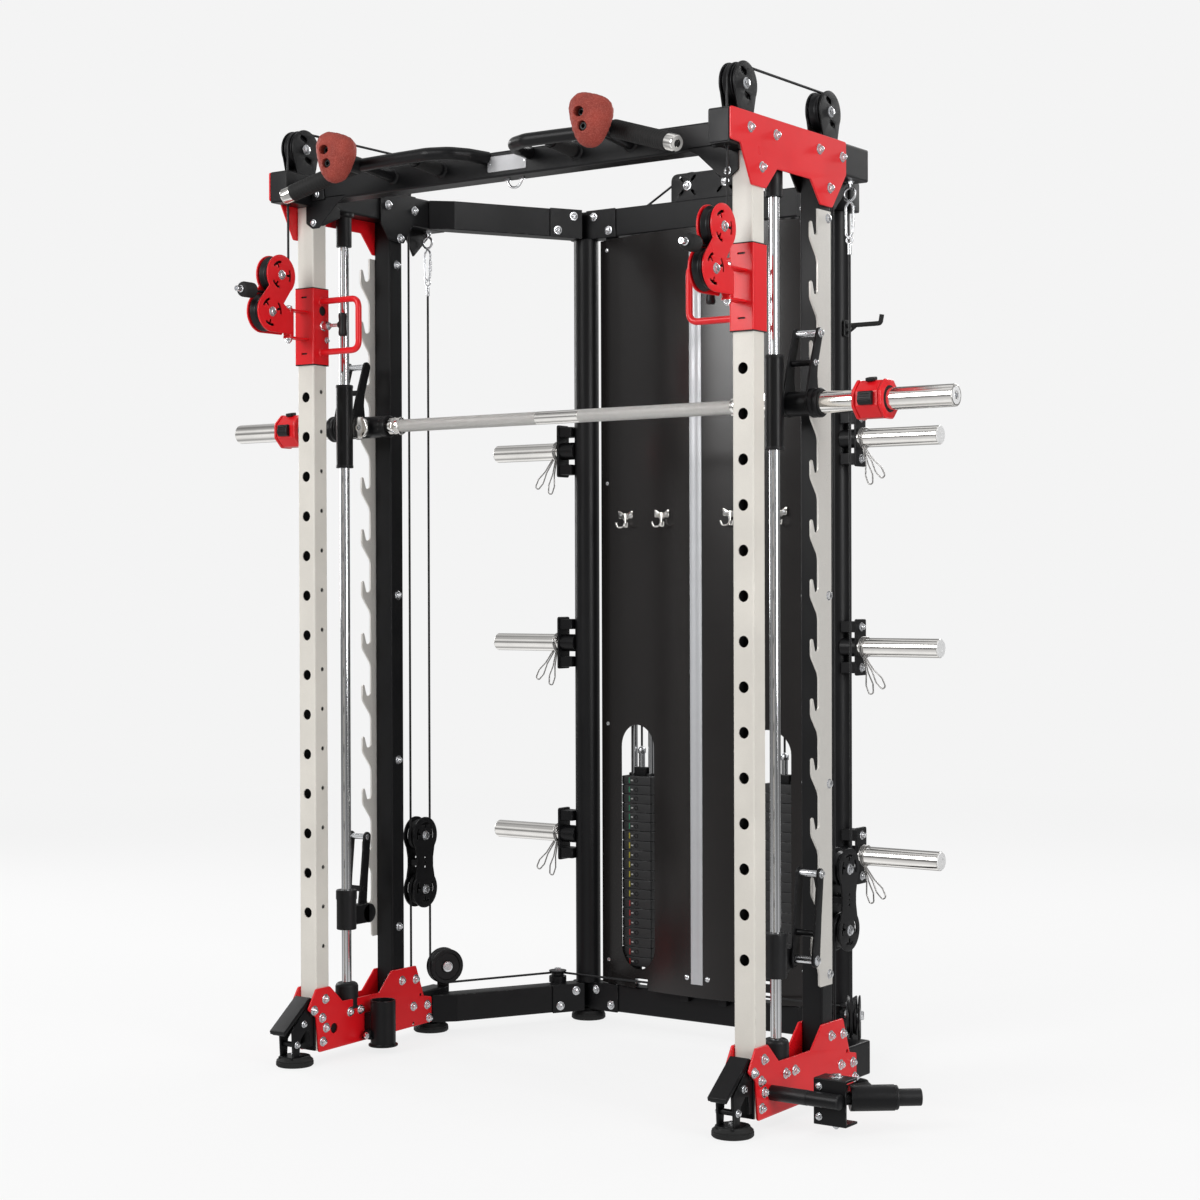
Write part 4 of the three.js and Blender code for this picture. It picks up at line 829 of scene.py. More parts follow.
def landmine_arm():
    part = Assembly("landmine_arm", "landmine")
    x, y = CLEVIS_PIN
    bottom, top = CLEVIS_Z
    part["black"].pipe((x, y, bottom + 8), (x, y, top - 8), 19, 7.7, 40, 1.2)
    part["plastic"].pipe((x, y, bottom + 6.3), (x, y, bottom + 8), 16, 7.7, 32, 0.4)
    part["black"].rod((826, 115, 75), (842, 128, 75), 15, 32)
    part["black"].pipe((838, 125, 75), (916, 187, 75), 28.5, 14, 48, 1.4)
    part["plastic"].pipe((905, 178, 75), (962, 224, 75), 19, 14, 40, 1.4)
    part["plastic"].pipe((915, 186, 75), (921, 191, 75), 27, 18.8, 40, 1.4)
    part.finish()


# ---- uprights, rails and rods ---------------------------------------------------------------
RAIL_FRONT, RAIL_BACK, RAIL_TOOTH, RAIL_Z = 277, 336, 243, (279, 2060)
RAIL_TIP, RAIL_PITCH, RAIL_TEETH = 2028.6, 135.8, 13
RAIL_BOLTS = (2043, 1176, 743, 304)


def front_upright(name, side):
    part = Assembly(f"front_upright_{name}")
    part["cream"].tube("z", outs(side, -TUBE_W / 2, TUBE_W / 2), (0, TUBE_D), (30, TOP_Z[0] - GAP),
                       corner=5)
    # a near-black liner just inside the tube, bored with it: partly the bare steel inside, partly
    # painted shade inside the tube, so the holes look dark
    inside = outs(side, 3.2 - TUBE_W / 2, TUBE_W / 2 - 3.2)
    part["cast"].tube("z", inside, (3.2, TUBE_D - 3.2), (31, TOP_Z[0] - 1), wall=0.8, corner=2)
    for i in range(HOLE_COUNT):
        z = HOLE_Z + HOLE_PITCH * i
        for finish in ("cream", "cast"):
            part.bore(finish).rod((side * HALF_SPAN, -5, z), (side * HALF_SPAN, TUBE_D + 5, z),
                                  HOLE_R, 36, 0)
    for i in range(HOLE_COUNT + 1):
        z = SIDE_HOLE_Z + HOLE_PITCH * i
        ends = (side_point(side, -TUBE_W / 2 - 4, SIDE_HOLE_Y, z),
                side_point(side, -TUBE_W / 2 + 8, SIDE_HOLE_Y, z))
        part.bore("cream").rod(*ends, 5.5, 24, 0)
    part.finish()


def rail_outline():
    points = [(RAIL_BACK, RAIL_Z[0]), (RAIL_BACK, RAIL_Z[1]), (RAIL_FRONT, RAIL_Z[1])]
    for i in range(RAIL_TEETH):
        tip = RAIL_TIP - RAIL_PITCH * i
        points += [(RAIL_FRONT, tip - 15)]
        points += arc2((RAIL_FRONT - 11, tip - 19), 11, -15, -125, 18)
        points += [(RAIL_TOOTH + 8, tip - 2), (RAIL_TOOTH + 4, tip), (RAIL_TOOTH, tip - 4)]
        points += [(RAIL_TOOTH, tip - 36), (RAIL_TOOTH + 3, tip - 44), (RAIL_FRONT - 4, tip - 78),
                   (RAIL_FRONT, tip - 90)]
    return points + [(RAIL_FRONT, RAIL_Z[0] + 5), (RAIL_FRONT + 5, RAIL_Z[0])]


def rear_upright(name, side):
    part = Assembly(f"rear_upright_{name}")
    ys = (REAR_UPRIGHT_Y - TUBE_D / 2, REAR_UPRIGHT_Y + TUBE_D / 2)
    part["black"].tube("z", outs(side, -TUBE_W / 2, TUBE_W / 2), ys,
                       (BASE_Z[1] + GAP, TOP_Z[0] - GAP))
    part["steel"].extrude("x", rail_outline(), outs(side, TUBE_W / 2, TUBE_W / 2 + PLATE),
                          chamfer=0.6)
    for z in RAIL_BOLTS:
        part.screw(side_point(side, TUBE_W / 2 + PLATE, 322, z), (side, 0, 0), 7.5)
        part.nut(side_point(side, -TUBE_W / 2, 322, z), (-side, 0, 0), 7.5)
    part.finish()


def guide_rod(name, side):
    part = Assembly(f"guide_rod_{name}")
    x, low, high = side * ROD_X, ROD_Z[0] + GAP, ROD_Z[1] - GAP
    part["rod_chrome"].rod((x, ROD_Y, low), (x, ROD_Y, high), ROD_R, 48, 1.2)
    part.finish()


# ---- top ------------------------------------------------------------------------------------
TOP_PLATE = [(-97, 2232), (-97, 2161), (-57, 2159), (-11, 2074), (49, 2074), (97, 2123),
             (246, 2123), (291, 2071), (345, 2071), (410, 2155), (410, 2232)]
TOP_GUSSET = [(255, 2232), (255, 2148), (290, 2106), (347, 2103), (385, 2154), (400, 2232)]
REAR_GUSSET = [(413, 2156), (413, 2145), (452, 2085), (525, 2151), (525, 2156)]
TOP_BOLTS = [(-19, 2198), (91, 2198), (30, 2118), (283, 2196), (390, 2194), (331, 2114)]


def top_pulley_housing(part, side, y):
    crown = arc2((y, TOP_SHEAVE_Z), 49, -28, 208, 6)
    outline = [(y - 33, TOP_Z[1]), (y + 33, TOP_Z[1])] + crown
    for face in (-1, 1):
        centre = (y, TOP_SHEAVE_Z)
        ovals = [oval((y - shift * 0.3, TOP_SHEAVE_Z + shift), 26, 13, -20) for shift in (-26, 26)]
        part["black"].extrude("x", outline, outs(side, face * 16, face * 20), ovals, 0.8)
        part.screw(side_point(side, face * 20, *centre), (side * face, 0, 0), 8.5)
    part["zinc"].rod(side_point(side, -21, y, TOP_SHEAVE_Z), side_point(side, 21, y, TOP_SHEAVE_Z),
                     5)
    part["black"].block(outs(side, -15.8, 15.8), (y - 9, y + 9), (TOP_Z[1], TOP_Z[1] + 7), 1, 2)


def cable_eye(part, side):
    x, y = side * HALF_SPAN, FLOAT_CABLE_Y[1]
    eye = arc3((x, y, EYE_Z), X, Z, 15, 0, 354)
    part["zinc"].sweep(eye, 3, 12, closed=True)
    part["zinc"].rod((x, y, EYE_Z + 13), (x, y, TOP_Z[0] + 1), 4)
    part["zinc"].turned(puck(9, 5), (x, y, TOP_Z[0] - 7), Z, HEXAGON)
    part["zinc"].turned(puck(12, 1.8), (x, y, TOP_Z[0] - 2), Z, 24)


def top_side(name, side):
    part = Assembly(f"top_side_{name}")
    part["black"].tube("y", outs(side, -BEAM_HALF, BEAM_HALF), TOP_Z, (FRONT_Y + 1.5, BEAM_END_Y))
    for y in (FRONT_CABLE_Y, FLOAT_CABLE_Y[0]):
        part.bore("black").rod((side * HALF_SPAN, y, TOP_Z[0] - 9),
                               (side * HALF_SPAN, y, TOP_Z[1] + 1.5), 7, 24, 0)
        part["plastic"].pipe((side * HALF_SPAN, y, TOP_Z[0] - 2),
                             (side * HALF_SPAN, y, TOP_Z[0] + 5), 7, 4.4, 24, 0.5)
    for ends in ((FRONT_Y, FRONT_Y + 8), (BEAM_END_Y - 8, BEAM_END_Y + 1.6)):
        cap = panel(outs(side, -25.5, 25.5), (TOP_Z[0] + 2, TOP_Z[1] - 2), 4)
        part["plastic"].extrude("y", cap, ends, chamfer=1.5)
    part["red"].extrude("x", rounded(TOP_PLATE, 6), outs(side, BEAM_HALF, BEAM_HALF + PLATE),
                        chamfer=0.9)
    part["black"].extrude("x", rounded(TOP_GUSSET, 6), outs(side, -BEAM_HALF, -BEAM_HALF - PLATE),
                          chamfer=0.9)
    left_face = side * HALF_SPAN - BEAM_HALF
    part["black"].extrude("x", rounded(REAR_GUSSET, 3), (left_face, left_face + PLATE))
    for y, z in TOP_BOLTS:
        part.nut(side_point(side, BEAM_HALF + PLATE, y, z), (side, 0, 0))
        if y > 250:
            part.nut(side_point(side, -BEAM_HALF - PLATE, y, z), (-side, 0, 0))
    height = TOP_Z[0] - ROD_Z[1]
    socket = [(0, 0), (19, 0), (20, 1), (20, height - 10), (27, height - 6), (27, height + 1),
              (0, height + 1)]
    part["plastic"].turned(socket, (side * ROD_X, ROD_Y, ROD_Z[1]), Z, 40)
    for y in (FRONT_SHEAVE_Y, BACK_SHEAVE_Y):
        top_pulley_housing(part, side, y)
    cable_eye(part, side)
    part.finish()


# ---- pull-up bar ----------------------------------------------------------------------------
GRIP_PATH = [(62, 0), (72, -60), (96, -104), (145, -124), (237, -120), (363, -110), (384, -112)]


def grip_loop(part, side):
    """One half of the multi-grip handle: the bent bar, two struts and the tilted outer grip."""
    route = bent([(side * x, y, GRIP_Z) for x, y in GRIP_PATH], 40)
    part["black"].sweep(route, 15.5, 24)
    start, end = Vector((side * 380, -111, GRIP_Z + 1)), Vector((side * 552, -148, 2160))
    along = (end - start).normalized()
    length = (end - start).length
    ribs = [(0, 0), (17, 0), (20.5, 2.5), (21, 6)]
    for i in range(1, 22):
        height = 6 + (length - 14) * i / 22
        ribs += [(21, height - 2.2), (20.2, height - 1.4), (20.2, height + 0.6), (21, height + 1.4)]
    ribs += [(21, length - 6), (20, length - 1.5), (17, length), (0, length)]
    part["rubber"].turned(ribs, start, along, 40)
    cap = [(0, 0), (19, 0), (19, 22), (16.5, 26), (9, 26.4), (9, 20), (0, 20)]
    part["chrome"].turned(cap, end - along * 1, along, 40)
    part["plastic"].turned(puck(9, 1), end + along * 19.2, along, 6)
    for x in (200, 352):
        reach = -108 if x == 352 else -119
        part["black"].rod((side * x, -1, GRIP_Z - 14), (side * x, reach, GRIP_Z - 2), 14.5, 28)
        part["black"].turned([(0, 0), (19, 0), (17, 3), (14.6, 5), (0, 5)],
                             (side * x, -5, GRIP_Z - 14), -Y, 32)
    part["rubber"].pipe((side * 200, -20, GRIP_Z - 12.2), (side * 200, -100, GRIP_Z - 4), 17.2,
                        14.6, 32, 0.8)
    part["black"].rod((side * HOLD_X, -105, GRIP_Z), (side * HOLD_X, HOLD_Y + 2, GRIP_Z + 4), 20,
                      40, 1.5)


def pullup_gusset(part, side):
    """The folded plate under each end of the bar, with its bolt."""
    fold = [(-5, 2172), (2, 2108), (35, 2110), (96, 2137), (96, 2160), (55, 2172)]
    part["black"].extrude("x", rounded(fold, 5), mirror(side, PULLUP_X - 5, PULLUP_X))
    part["black"].extrude("x", rounded([(-5, 2164), (0, 2112), (5, 2112), (5, 2164)], 1),
                          mirror(side, PULLUP_X - 34, PULLUP_X))
    web = [(side * (HALF_SPAN - x), z) for x, z in ((8, 2174), (8, 2112), (28, 2098), (50, 2098),
                                                    (112, 2154), (150, 2174))]
    part["black"].extrude("y", rounded(web, 5), (-5, -0.6), chamfer=0.8)
    part.screw((side * (HALF_SPAN - 34), -5, 2112), -Y, 6)
    lug = [(side * (PULLUP_X - 46), PULLUP_Z[0] + 2), (side * (PULLUP_X - 4), PULLUP_Z[0] + 2),
           (side * (PULLUP_X - 4), PULLUP_Z[1] - 4), (side * (PULLUP_X - 40), PULLUP_Z[1] - 4)]
    part["black"].extrude("y", rounded(lug, 4), (PULLUP_Y[0] - 4.6, PULLUP_Y[0] + 1))
    for z in (2181, 2209):
        part.screw((side * (PULLUP_X - 22), PULLUP_Y[0] - 4.6, z), -Y, 5.5)


def pullup_bar():
    part = Assembly("pullup_bar")
    part["black"].tube("x", PULLUP_Y, PULLUP_Z, (-PULLUP_X, PULLUP_X), corner=6)
    plate = panel((-57, 57), (2178, 2215), 4)
    part["plate"].extrude("y", plate, (PULLUP_Y[0] - 2, PULLUP_Y[0] + 0.2), chamfer=0.6)
    for x in (-51, 51):
        part["zinc"].turned([(0, 0), (2.6, 0), (2.2, 0.8), (0, 1.1)], (x, PULLUP_Y[0] - 2, 2196.5),
                            -Y, 16)
    loop = arc3((0, 25, PULLUP_Z[0] - 2), X, Z, 21, 180, 360)
    stems = [(x, 25, PULLUP_Z[0] + 1) for x in (21, -21)]
    part["rod_chrome"].sweep([stems[1], *loop, stems[0]], 3, 16)
    for x in (-21, 21):
        part["zinc"].turned(puck(7.5, 5), (x, 25, PULLUP_Z[0] - 5), Z, HEXAGON)
    for _, side in SIDES:
        grip_loop(part, side)
        pullup_gusset(part, side)
    part.finish()


# ---- climbing holds -------------------------------------------------------------------------
# lumps of the cast body and the hollow in it: centre from the bolt line (x, y, z), radius
LUMPS = [((2, -34, -8), 38), ((-20, -32, 32), 29), ((26, -30, 18), 27), ((4, -38, -34), 27),
         ((0, -30, 12), 36)]
POCKETS = [((2, -98, 14), 34)]
HOLD_ROWS, HOLD_COLUMNS = 56, 96


def hold_field(point):
    """Negative inside the cast body: its lumps run together, less the pockets."""
    field = 1e9
    for centre, radius in LUMPS:
        lump = (point - Vector(centre)).length - radius
        blend = max(0.0, 1 - abs(field - lump) / 26)
        field = min(field, lump) - blend * blend * 6.5
    for centre, radius in POCKETS:
        field = max(field, radius - (point - Vector(centre)).length)
    return field


def hold_reach(start, way):
    """How far the body reaches along a ray from inside it."""
    near, far = 4.0, 110.0
    for _ in range(22):
        middle = (near + far) / 2
        near, far = (middle, far) if hold_field(start + way * middle) < 0 else (near, middle)
    return near


def climbing_hold(name, side):
    part = Assembly(f"climbing_hold_{name}")
    heart, points, faces = Vector((2, -34, 0)), [], []
    for row in range(HOLD_ROWS + 1):
        tilt = math.pi * row / HOLD_ROWS
        for column in range(HOLD_COLUMNS):
            turn = 2 * math.pi * column / HOLD_COLUMNS
            way = Vector((math.sin(tilt) * math.cos(turn), -math.cos(tilt),
                          math.sin(tilt) * math.sin(turn)))
            reach = min(hold_reach(heart, way), 1000 if way.y < 0.02 else 34 / way.y)
            ripple = noise.fractal(way * 5.5 + Vector((side * 3, 0, 0)), 0.6, 2.1, 4) * 1.3
            spot = heart + way * (reach + (ripple if way.y < 0.7 else 0))
            points.append((side * HOLD_X + spot.x, HOLD_Y + min(spot.y, 0.0), HOLD_Z + spot.z))
    for row in range(HOLD_ROWS):
        for column in range(HOLD_COLUMNS):
            ahead = (column + 1) % HOLD_COLUMNS
            low, high = row * HOLD_COLUMNS, (row + 1) * HOLD_COLUMNS
            faces.append((low + column, low + ahead, high + ahead, high + column))
    part["resin"].add(points, faces, [0.0] * len(faces))
    for x, z, depth in ((-7, 14, 46), (6, -20, 34)):
        mouth = (side * HOLD_X + x, HOLD_Y - 92, HOLD_Z + z)
        part.bore("resin").rod(mouth, (mouth[0], mouth[1] + depth, mouth[2]), 11.5, 36, 0)
        floor = (mouth[0], mouth[1] + depth - 0.6, mouth[2])
        part["plastic"].turned([(5, 0), (9, 0), (9, -7), (7.8, -9), (5, -9), (5, 0)], floor, Y, 24)
        part["plastic"].turned([(0, 0.2), (11.3, 0.2), (11.3, -1.2), (0, -1.2)], floor, Y, 28)
    part.finish()


# ---- rear frame -----------------------------------------------------------------------------
REAR_BEAM_Y = (857, 907)
REAR_DIAGONAL = [(617.4, 452), (617.4, 523), (431.6, 858), (384.4, 832), (566.4, 502)]
PULLEY_PLATE = [(-112, 2200), (-112, 2306), (112, 2306), (112, 2200)]


SLANT = (0.483, 0.8756)     # the slanted beams' way, outwards and to the front


def rear_ring(part, zs):
    """A rear cross beam with its closed ends, corner plates and the two slanted beams."""
    part["black"].tube("x", REAR_BEAM_Y, zs, (-440, 440))
    front = REAR_BEAM_Y[0]
    for _, side in SIDES:
        end = panel((REAR_BEAM_Y[0] + 1.5, REAR_BEAM_Y[1] - 1.5), (zs[0] + 1.5, zs[1] - 1.5), 4)
        part["plastic"].extrude("x", end, mirror(side, 432, 441.8), chamfer=1.5)
        diagonal = rounded([(side * x, y) for x, y in REAR_DIAGONAL], 3)
        part["black"].extrude("z", diagonal, (zs[0] + 0.4, zs[1] - 0.4), chamfer=2.2)
        corner = panel(mirror(side, 286, 384), (zs[0] - 1, zs[1] + 1), 3)
        part["black"].extrude("y", corner, (front - 4.5, front), chamfer=0.9)
        for x, z in ((308, zs[0] + 18), (358, zs[1] - 18)):
            part.nut((side * x, front - 4.5, z), -Y, 8)
        along = Vector((side * SLANT[0], -SLANT[1], 0))
        inward = Vector((-side * SLANT[1], -SLANT[0], 0))
        bend = Vector((side * REAR_DIAGONAL[3][0], REAR_DIAGONAL[3][1], 0))
        strap = [bend, bend + along * 96, bend + along * 96 + inward * 4.5, bend + inward * 4.5]
        part["black"].extrude("z", rounded([p[:2] for p in strap], 1), (zs[0] - 1, zs[1] + 1),
                              chamfer=0.9)
        for reach, z in ((26, zs[1] - 18), (74, zs[0] + 18)):
            spot = bend + along * reach + inward * 4.5
            part.nut((spot.x, spot.y, z), inward, 8)


def rear_wheel(part, x, y, z):
    profile = [(0, -10), (15, -10), (16, -8.5), (30, -8.5), (31, -10), (36, -10), (37, -9),
               (37, -7.5), (33.2, -2.5), (33.2, 2.5), (37, 7.5), (37, 9), (36, 10), (31, 10),
               (30, 8.5), (16, 8.5), (15, 10), (0, 10)]
    part["nylon"].turned(profile, (x, y, z), Y, 48)
    part["zinc"].turned(puck(8, 3), (x, y - 10.2, z), -Y, HEXAGON)


def rear_bottom_frame():
    part = Assembly("rear_bottom_frame")
    rear_ring(part, REAR_Z)
    for _, side in SIDES:
        x, y = corner_roller(side)
        foot_pad(part, side * COLUMN_X, COLUMN_Y)
        part["black"].turned([(0, 22), (24, 22), (24, 29.5), (0, 29.5)],
                             (side * COLUMN_X, COLUMN_Y, 0), Z, 40)
        spool = [(0, REAR_Z[1]), (24, REAR_Z[1]), (24, 119), (16.6, LOW_RUN_Z - 2.6),
                 (16.6, LOW_RUN_Z + 2.6), (24, 132), (24, 135), (10, 136), (0, 136)]
        part["nylon"].turned(spool, (x, y, 0), Z, 40)
        part["zinc"].turned(puck(9, 5), (x, y, 136), Z, HEXAGON)
        wheel_x, wheel_z = LOW_WHEEL
        rear_wheel(part, side * wheel_x, REAR_RUN_Y, wheel_z)
        part["black"].block(mirror(side, wheel_x - 12, wheel_x + 12),
                            (REAR_RUN_Y + 10.5, REAR_BEAM_Y[0] + 0.5), (84, wheel_z + 12), 1, 2)
    part.finish()


def slots_around(centre, distance, length, width):
    """Four slots standing off a bolt along the diagonals."""
    slots = []
    for angle in (45, 135, 225, 315):
        turn = math.radians(angle)
        middle = (centre[0] + distance * math.cos(turn), centre[1] + distance * math.sin(turn))
        slots.append(oval(middle, length, width, angle))
    return slots


def rear_top_frame():
    part = Assembly("rear_top_frame")
    rear_ring(part, TOP_Z)
    for _, side in SIDES:
        for span, zs in (((16, 31), (2150, 2240)), ((140, 236), (2222, 2242)),
                         ((148, 234), (2146, 2165))):
            xs = [side * x for x in span]
            depth = 8 if span[0] == 16 else 12
            part.bore("black").extrude("z", rectangle(xs,
                                                      (REAR_CABLE_Y - depth, REAR_CABLE_Y + depth)),
                                       zs, chamfer=0)
        rear_wheel(part, side * TOP_WHEEL[0], REAR_CABLE_Y, TOP_WHEEL[1])
        rear_wheel(part, side * STACK_WHEEL[0], REAR_CABLE_Y, STACK_WHEEL[1])
        for y, way in ((867, -Y), (907, Y)):
            part.nut((side * TOP_WHEEL[0], y, TOP_WHEEL[1]), way, 8.5)
    crosses = [slot for side in (-1, 1) for slot in slots_around((side * TOP_WHEEL[0],
                                                                  TOP_WHEEL[1]), 27, 20, 7)]
    for ys in ((867, 871), (903, 907)):
        part["black"].extrude("y", rounded(PULLEY_PLATE, 22, 9), ys, crosses, 0.8)
    part.finish()


def storage_horn(part, side, z):
    """A chrome plate holder on the rear column, with its clamp plate and a spring clip."""
    base = panel((HORN_Y - 26, HORN_Y + 26), (z - 72, z + 72), 7)
    part["black"].extrude("x", base, mirror(side, 465, 471), chamfer=0.9)
    part["black"].rod((side * (COLUMN_X + 24), HORN_Y, z), (side * 470, HORN_Y, z), HORN_R, 40)
    for shift in (-52, 52):
        strap = panel(mirror(side, 424, 465.5), (z + shift - 14, z + shift + 14), 2)
        part["black"].extrude("y", strap, (HORN_Y - 22, HORN_Y + 22), chamfer=1)
        part.nut((side * 471, HORN_Y, z + shift), (side, 0, 0), 7.5)
    tube = [(0, 0), (HORN_R, 0), (HORN_R, 222), (HORN_R - 1, 223.5), (0, 223.5)]
    part["chrome"].turned(tube, (side * 471, HORN_Y, z), (side, 0, 0), 48)
    part["cap"].turned([(0, 0), (HORN_R - 1.2, 0), (HORN_R - 2.4, 2.4), (8, 2.6), (8, 1.2),
                        (0, 1.2)], (side * 694.4, HORN_Y, z), (side, 0, 0), 48)
    spring_clip(part, side, z)


def spring_clip(part, side, z):
    """A wound wire clip on the horn, with two hairpin handles hanging below it."""
    turns, wire = 2.4, 1.9
    steps = round(turns * 24)
    coil = []
    for i in range(steps + 1):
        angle = math.radians(-90 + 360 * turns * i / steps)
        radius = HORN_R + wire + 0.3
        coil.append((side * (476 + 11 * i / steps), HORN_Y + radius * math.sin(angle),
                     z + radius * math.cos(angle)))
    part["wire"].sweep(coil, wire, 8)
    for x, slant, y in ((484, 14, HORN_Y - 10), (488, 46, HORN_Y - 18)):
        along = Vector((side * slant, 0, -64)).normalized()
        across = along.cross(Y)
        root = Vector((side * x, y, z - HORN_R + 2))
        stations = ((0, 2), (44, 3), (74, 10), (98, 6))
        loop = [root + along * reach - across * half for reach, half in stations]
        loop += [root + along * reach + across * half for reach, half in reversed(stations)]
        part["wire"].sweep(bent(loop, 8, 5), wire, 10)


def rear_column(name, side):
    part = Assembly(f"rear_column_{name}")
    x, low, high = side * COLUMN_X, REAR_Z[1] + GAP, TOP_Z[0] - GAP
    part["black"].pipe((x, COLUMN_Y, low), (x, COLUMN_Y, high), COLUMN_R, COLUMN_R - 3, 48)
    for z in HORN_Z:
        storage_horn(part, side, z)
    if side > 0:
        hook = bent([(x + 30, HORN_Y, 1862), (528, HORN_Y, 1862), (532, HORN_Y, 1884)], 8)
        part["rubber"].sweep(hook, 6, 16)
        part["black"].extrude("x", panel((HORN_Y - 12, HORN_Y + 12), (1834, 1876), 3),
                              (x + 32, x + 37))
        part["black"].sweep(bent([(x + 36, HORN_Y, 1842), (x + 60, HORN_Y, 1858)], 5), 4, 12)
    part.finish()


def shroud_y(x):
    return SHROUD_Y + SHROUD_BOW * (x / SHROUD_X) ** 2


COAT_HOOK_X, COAT_HOOK_Z = (108, 242), 1382


def coat_hook(part, x):
    """A small chrome hook with a winged foot and two prongs that curl up."""
    y, z = shroud_y(x), COAT_HOOK_Z
    wing = [(5, 11), (13, 17), (22, 22), (24, 17), (22, 10), (24, 3), (19, -1), (11, 1), (6, -4)]
    outline = [(x + u, z + v) for u, v in wing] + [(x - u, z + v) for u, v in reversed(wing)]
    part["chrome"].extrude("y", rounded(outline, 4, 4), (y - 8, y - 5.4), chamfer=0.8)
    part["chrome"].block((x - 7, x + 7), (y - 6, y + 1), (z - 3, z + 13), 0.8)
    part["chrome"].rod((x, y - 8, z + 14), (x, y - 9.5, z - 17), 3.2, 20)
    for way in (-1, 1):
        part["zinc"].turned([(0, 0), (3, 0), (2.4, 1.2), (0, 1.6)], (x + way * 15, y - 8, z + 9),
                            -Y, 16)
        prong = bent([(x, y - 9, z - 12), (x + way * 4, y - 14, z - 24),
                      (x + way * 16, y - 22, z - 25), (x + way * 19, y - 26, z - 12)], 8, 6)
        part["chrome"].sweep(prong, 2.5, 14)


THROUGH_SHROUD = (780, 900)


def rear_shroud():
    """The bowed sheet in front of the stacks, with two windows and a centre strip."""
    part = Assembly("rear_shroud")
    columns = [(SHROUD_X + 9) * (i / 24 - 1) for i in range(49)]
    sheet = [(x, shroud_y(x)) for x in columns] + [(x, shroud_y(x) + 3) for x in reversed(columns)]
    part["shroud"].extrude("z", sheet, (REAR_Z[1] + 2, SHROUD_Z[1]), chamfer=0.5)
    middle_z, height = sum(WINDOW_Z) / 2, WINDOW_Z[1] - WINDOW_Z[0]
    width = WINDOW_X[1] - WINDOW_X[0]
    for _, side in SIDES:
        slot = oval((side * sum(WINDOW_X) / 2, middle_z), height, width, 90)
        part.bore("shroud").extrude("y", slot, THROUGH_SHROUD, chamfer=0)
        notch = rectangle(mirror(side, 168, 216), (REAR_Z[1] - 5, LOW_RUN_Z + 10))
        part.bore("shroud").extrude("y", notch, THROUGH_SHROUD, chamfer=0)
        for x in COAT_HOOK_X:
            coat_hook(part, side * x)
        for zs in ((SHROUD_Z[1] - 4, TOP_Z[0] - GAP), (REAR_Z[1] + GAP, SHROUD_Z[0] + 4)):
            tab = panel(mirror(side, 285, 325), zs, 1.5)
            part["black"].extrude("y", tab, (shroud_y(325) - 2.4, shroud_y(325) + 4), chamfer=0.6)
        for z in (SHROUD_Z[0] + 16, 2110):
            part["zinc"].turned([(0, 0), (7.5, 0), (6.6, 2.6), (3.5, 4), (0, 4.2)],
                                (side * 32, shroud_y(32) - 0.2, z), -Y, 24)
        for z in (170, 820, 1480, 2120):
            at = (side * 322, shroud_y(322) - 0.2, z)
            part["zinc"].turned([(0, 0), (5.5, 0), (4.8, 2), (0, 2.8)], at, -Y, 20)
    y = SHROUD_Y
    strip = [(-18, y + 1), (-18, y - 2.5), (-15.5, y - 4), (-6, y - 4), (-5, y - 3), (5, y - 3),
             (6, y - 4), (15.5, y - 4), (18, y - 2.5), (18, y + 1)]
    part["aluminium"].extrude("z", strip, (SHROUD_Z[0], 2125), chamfer=0.4)
    part.finish()


# ---- weight stacks --------------------------------------------------------------------------
STACK_Z, STACK_PITCH, STACK_HALF, STACK_DEPTH = (160, 530, 680), 26, 48, (858, 926)
MARK_COLOURS = ("mark_red", "mark_red", "mark_yellow", "mark_yellow", "mark_green", "mark_green")


def plate_pile(part, side, zs):
    """Cast plates one on another, each with a plain mark in front."""
    count = round((zs[1] - zs[0]) / STACK_PITCH)
    pitch = (zs[1] - zs[0]) / count
    xs = mirror(side, STACK_X - STACK_HALF, STACK_X + STACK_HALF)
    rods = [circle((side * STACK_X + way * STACK_ROD_OFFSET, STACK_ROD_Y), 10.2, 20) for way in (-1,
                                                                                                 1)]
    stem = circle((side * STACK_X, REAR_CABLE_Y), 9.3, 20)
    outline = panel(xs, STACK_DEPTH, 5, 3)
    for i in range(count):
        low = zs[0] + pitch * i
        part["cast"].extrude("z", outline, (low + 0.4, low + pitch - 0.5), [*rods, stem], 1.5)
        middle = low + pitch / 2
        height = (low - STACK_Z[0]) / (STACK_Z[2] - STACK_Z[0])
        tag = panel((side * STACK_X - 24, side * STACK_X - 20), (middle - 8, middle + 8), 1, 2)
        part[MARK_COLOURS[int(height * 6)]].extrude("y", tag,
                                                    (STACK_DEPTH[0] - 0.8, STACK_DEPTH[0] + 0.4),
                                                    chamfer=0.3)
        mark = panel((side * STACK_X - 17, side * STACK_X - 10), (middle - 2, middle + 2), 0.8, 2)
        part["mark"].extrude("y", mark, (STACK_DEPTH[0] - 0.8, STACK_DEPTH[0] + 0.4), chamfer=0.3)
        pin_hole = (side * STACK_X, STACK_DEPTH[0] + 0.2, middle)
        part["plastic"].turned([(3.8, 0), (6.6, 0), (6.2, 1), (4.2, 1), (3.8, 0)], pin_hole, -Y, 20)


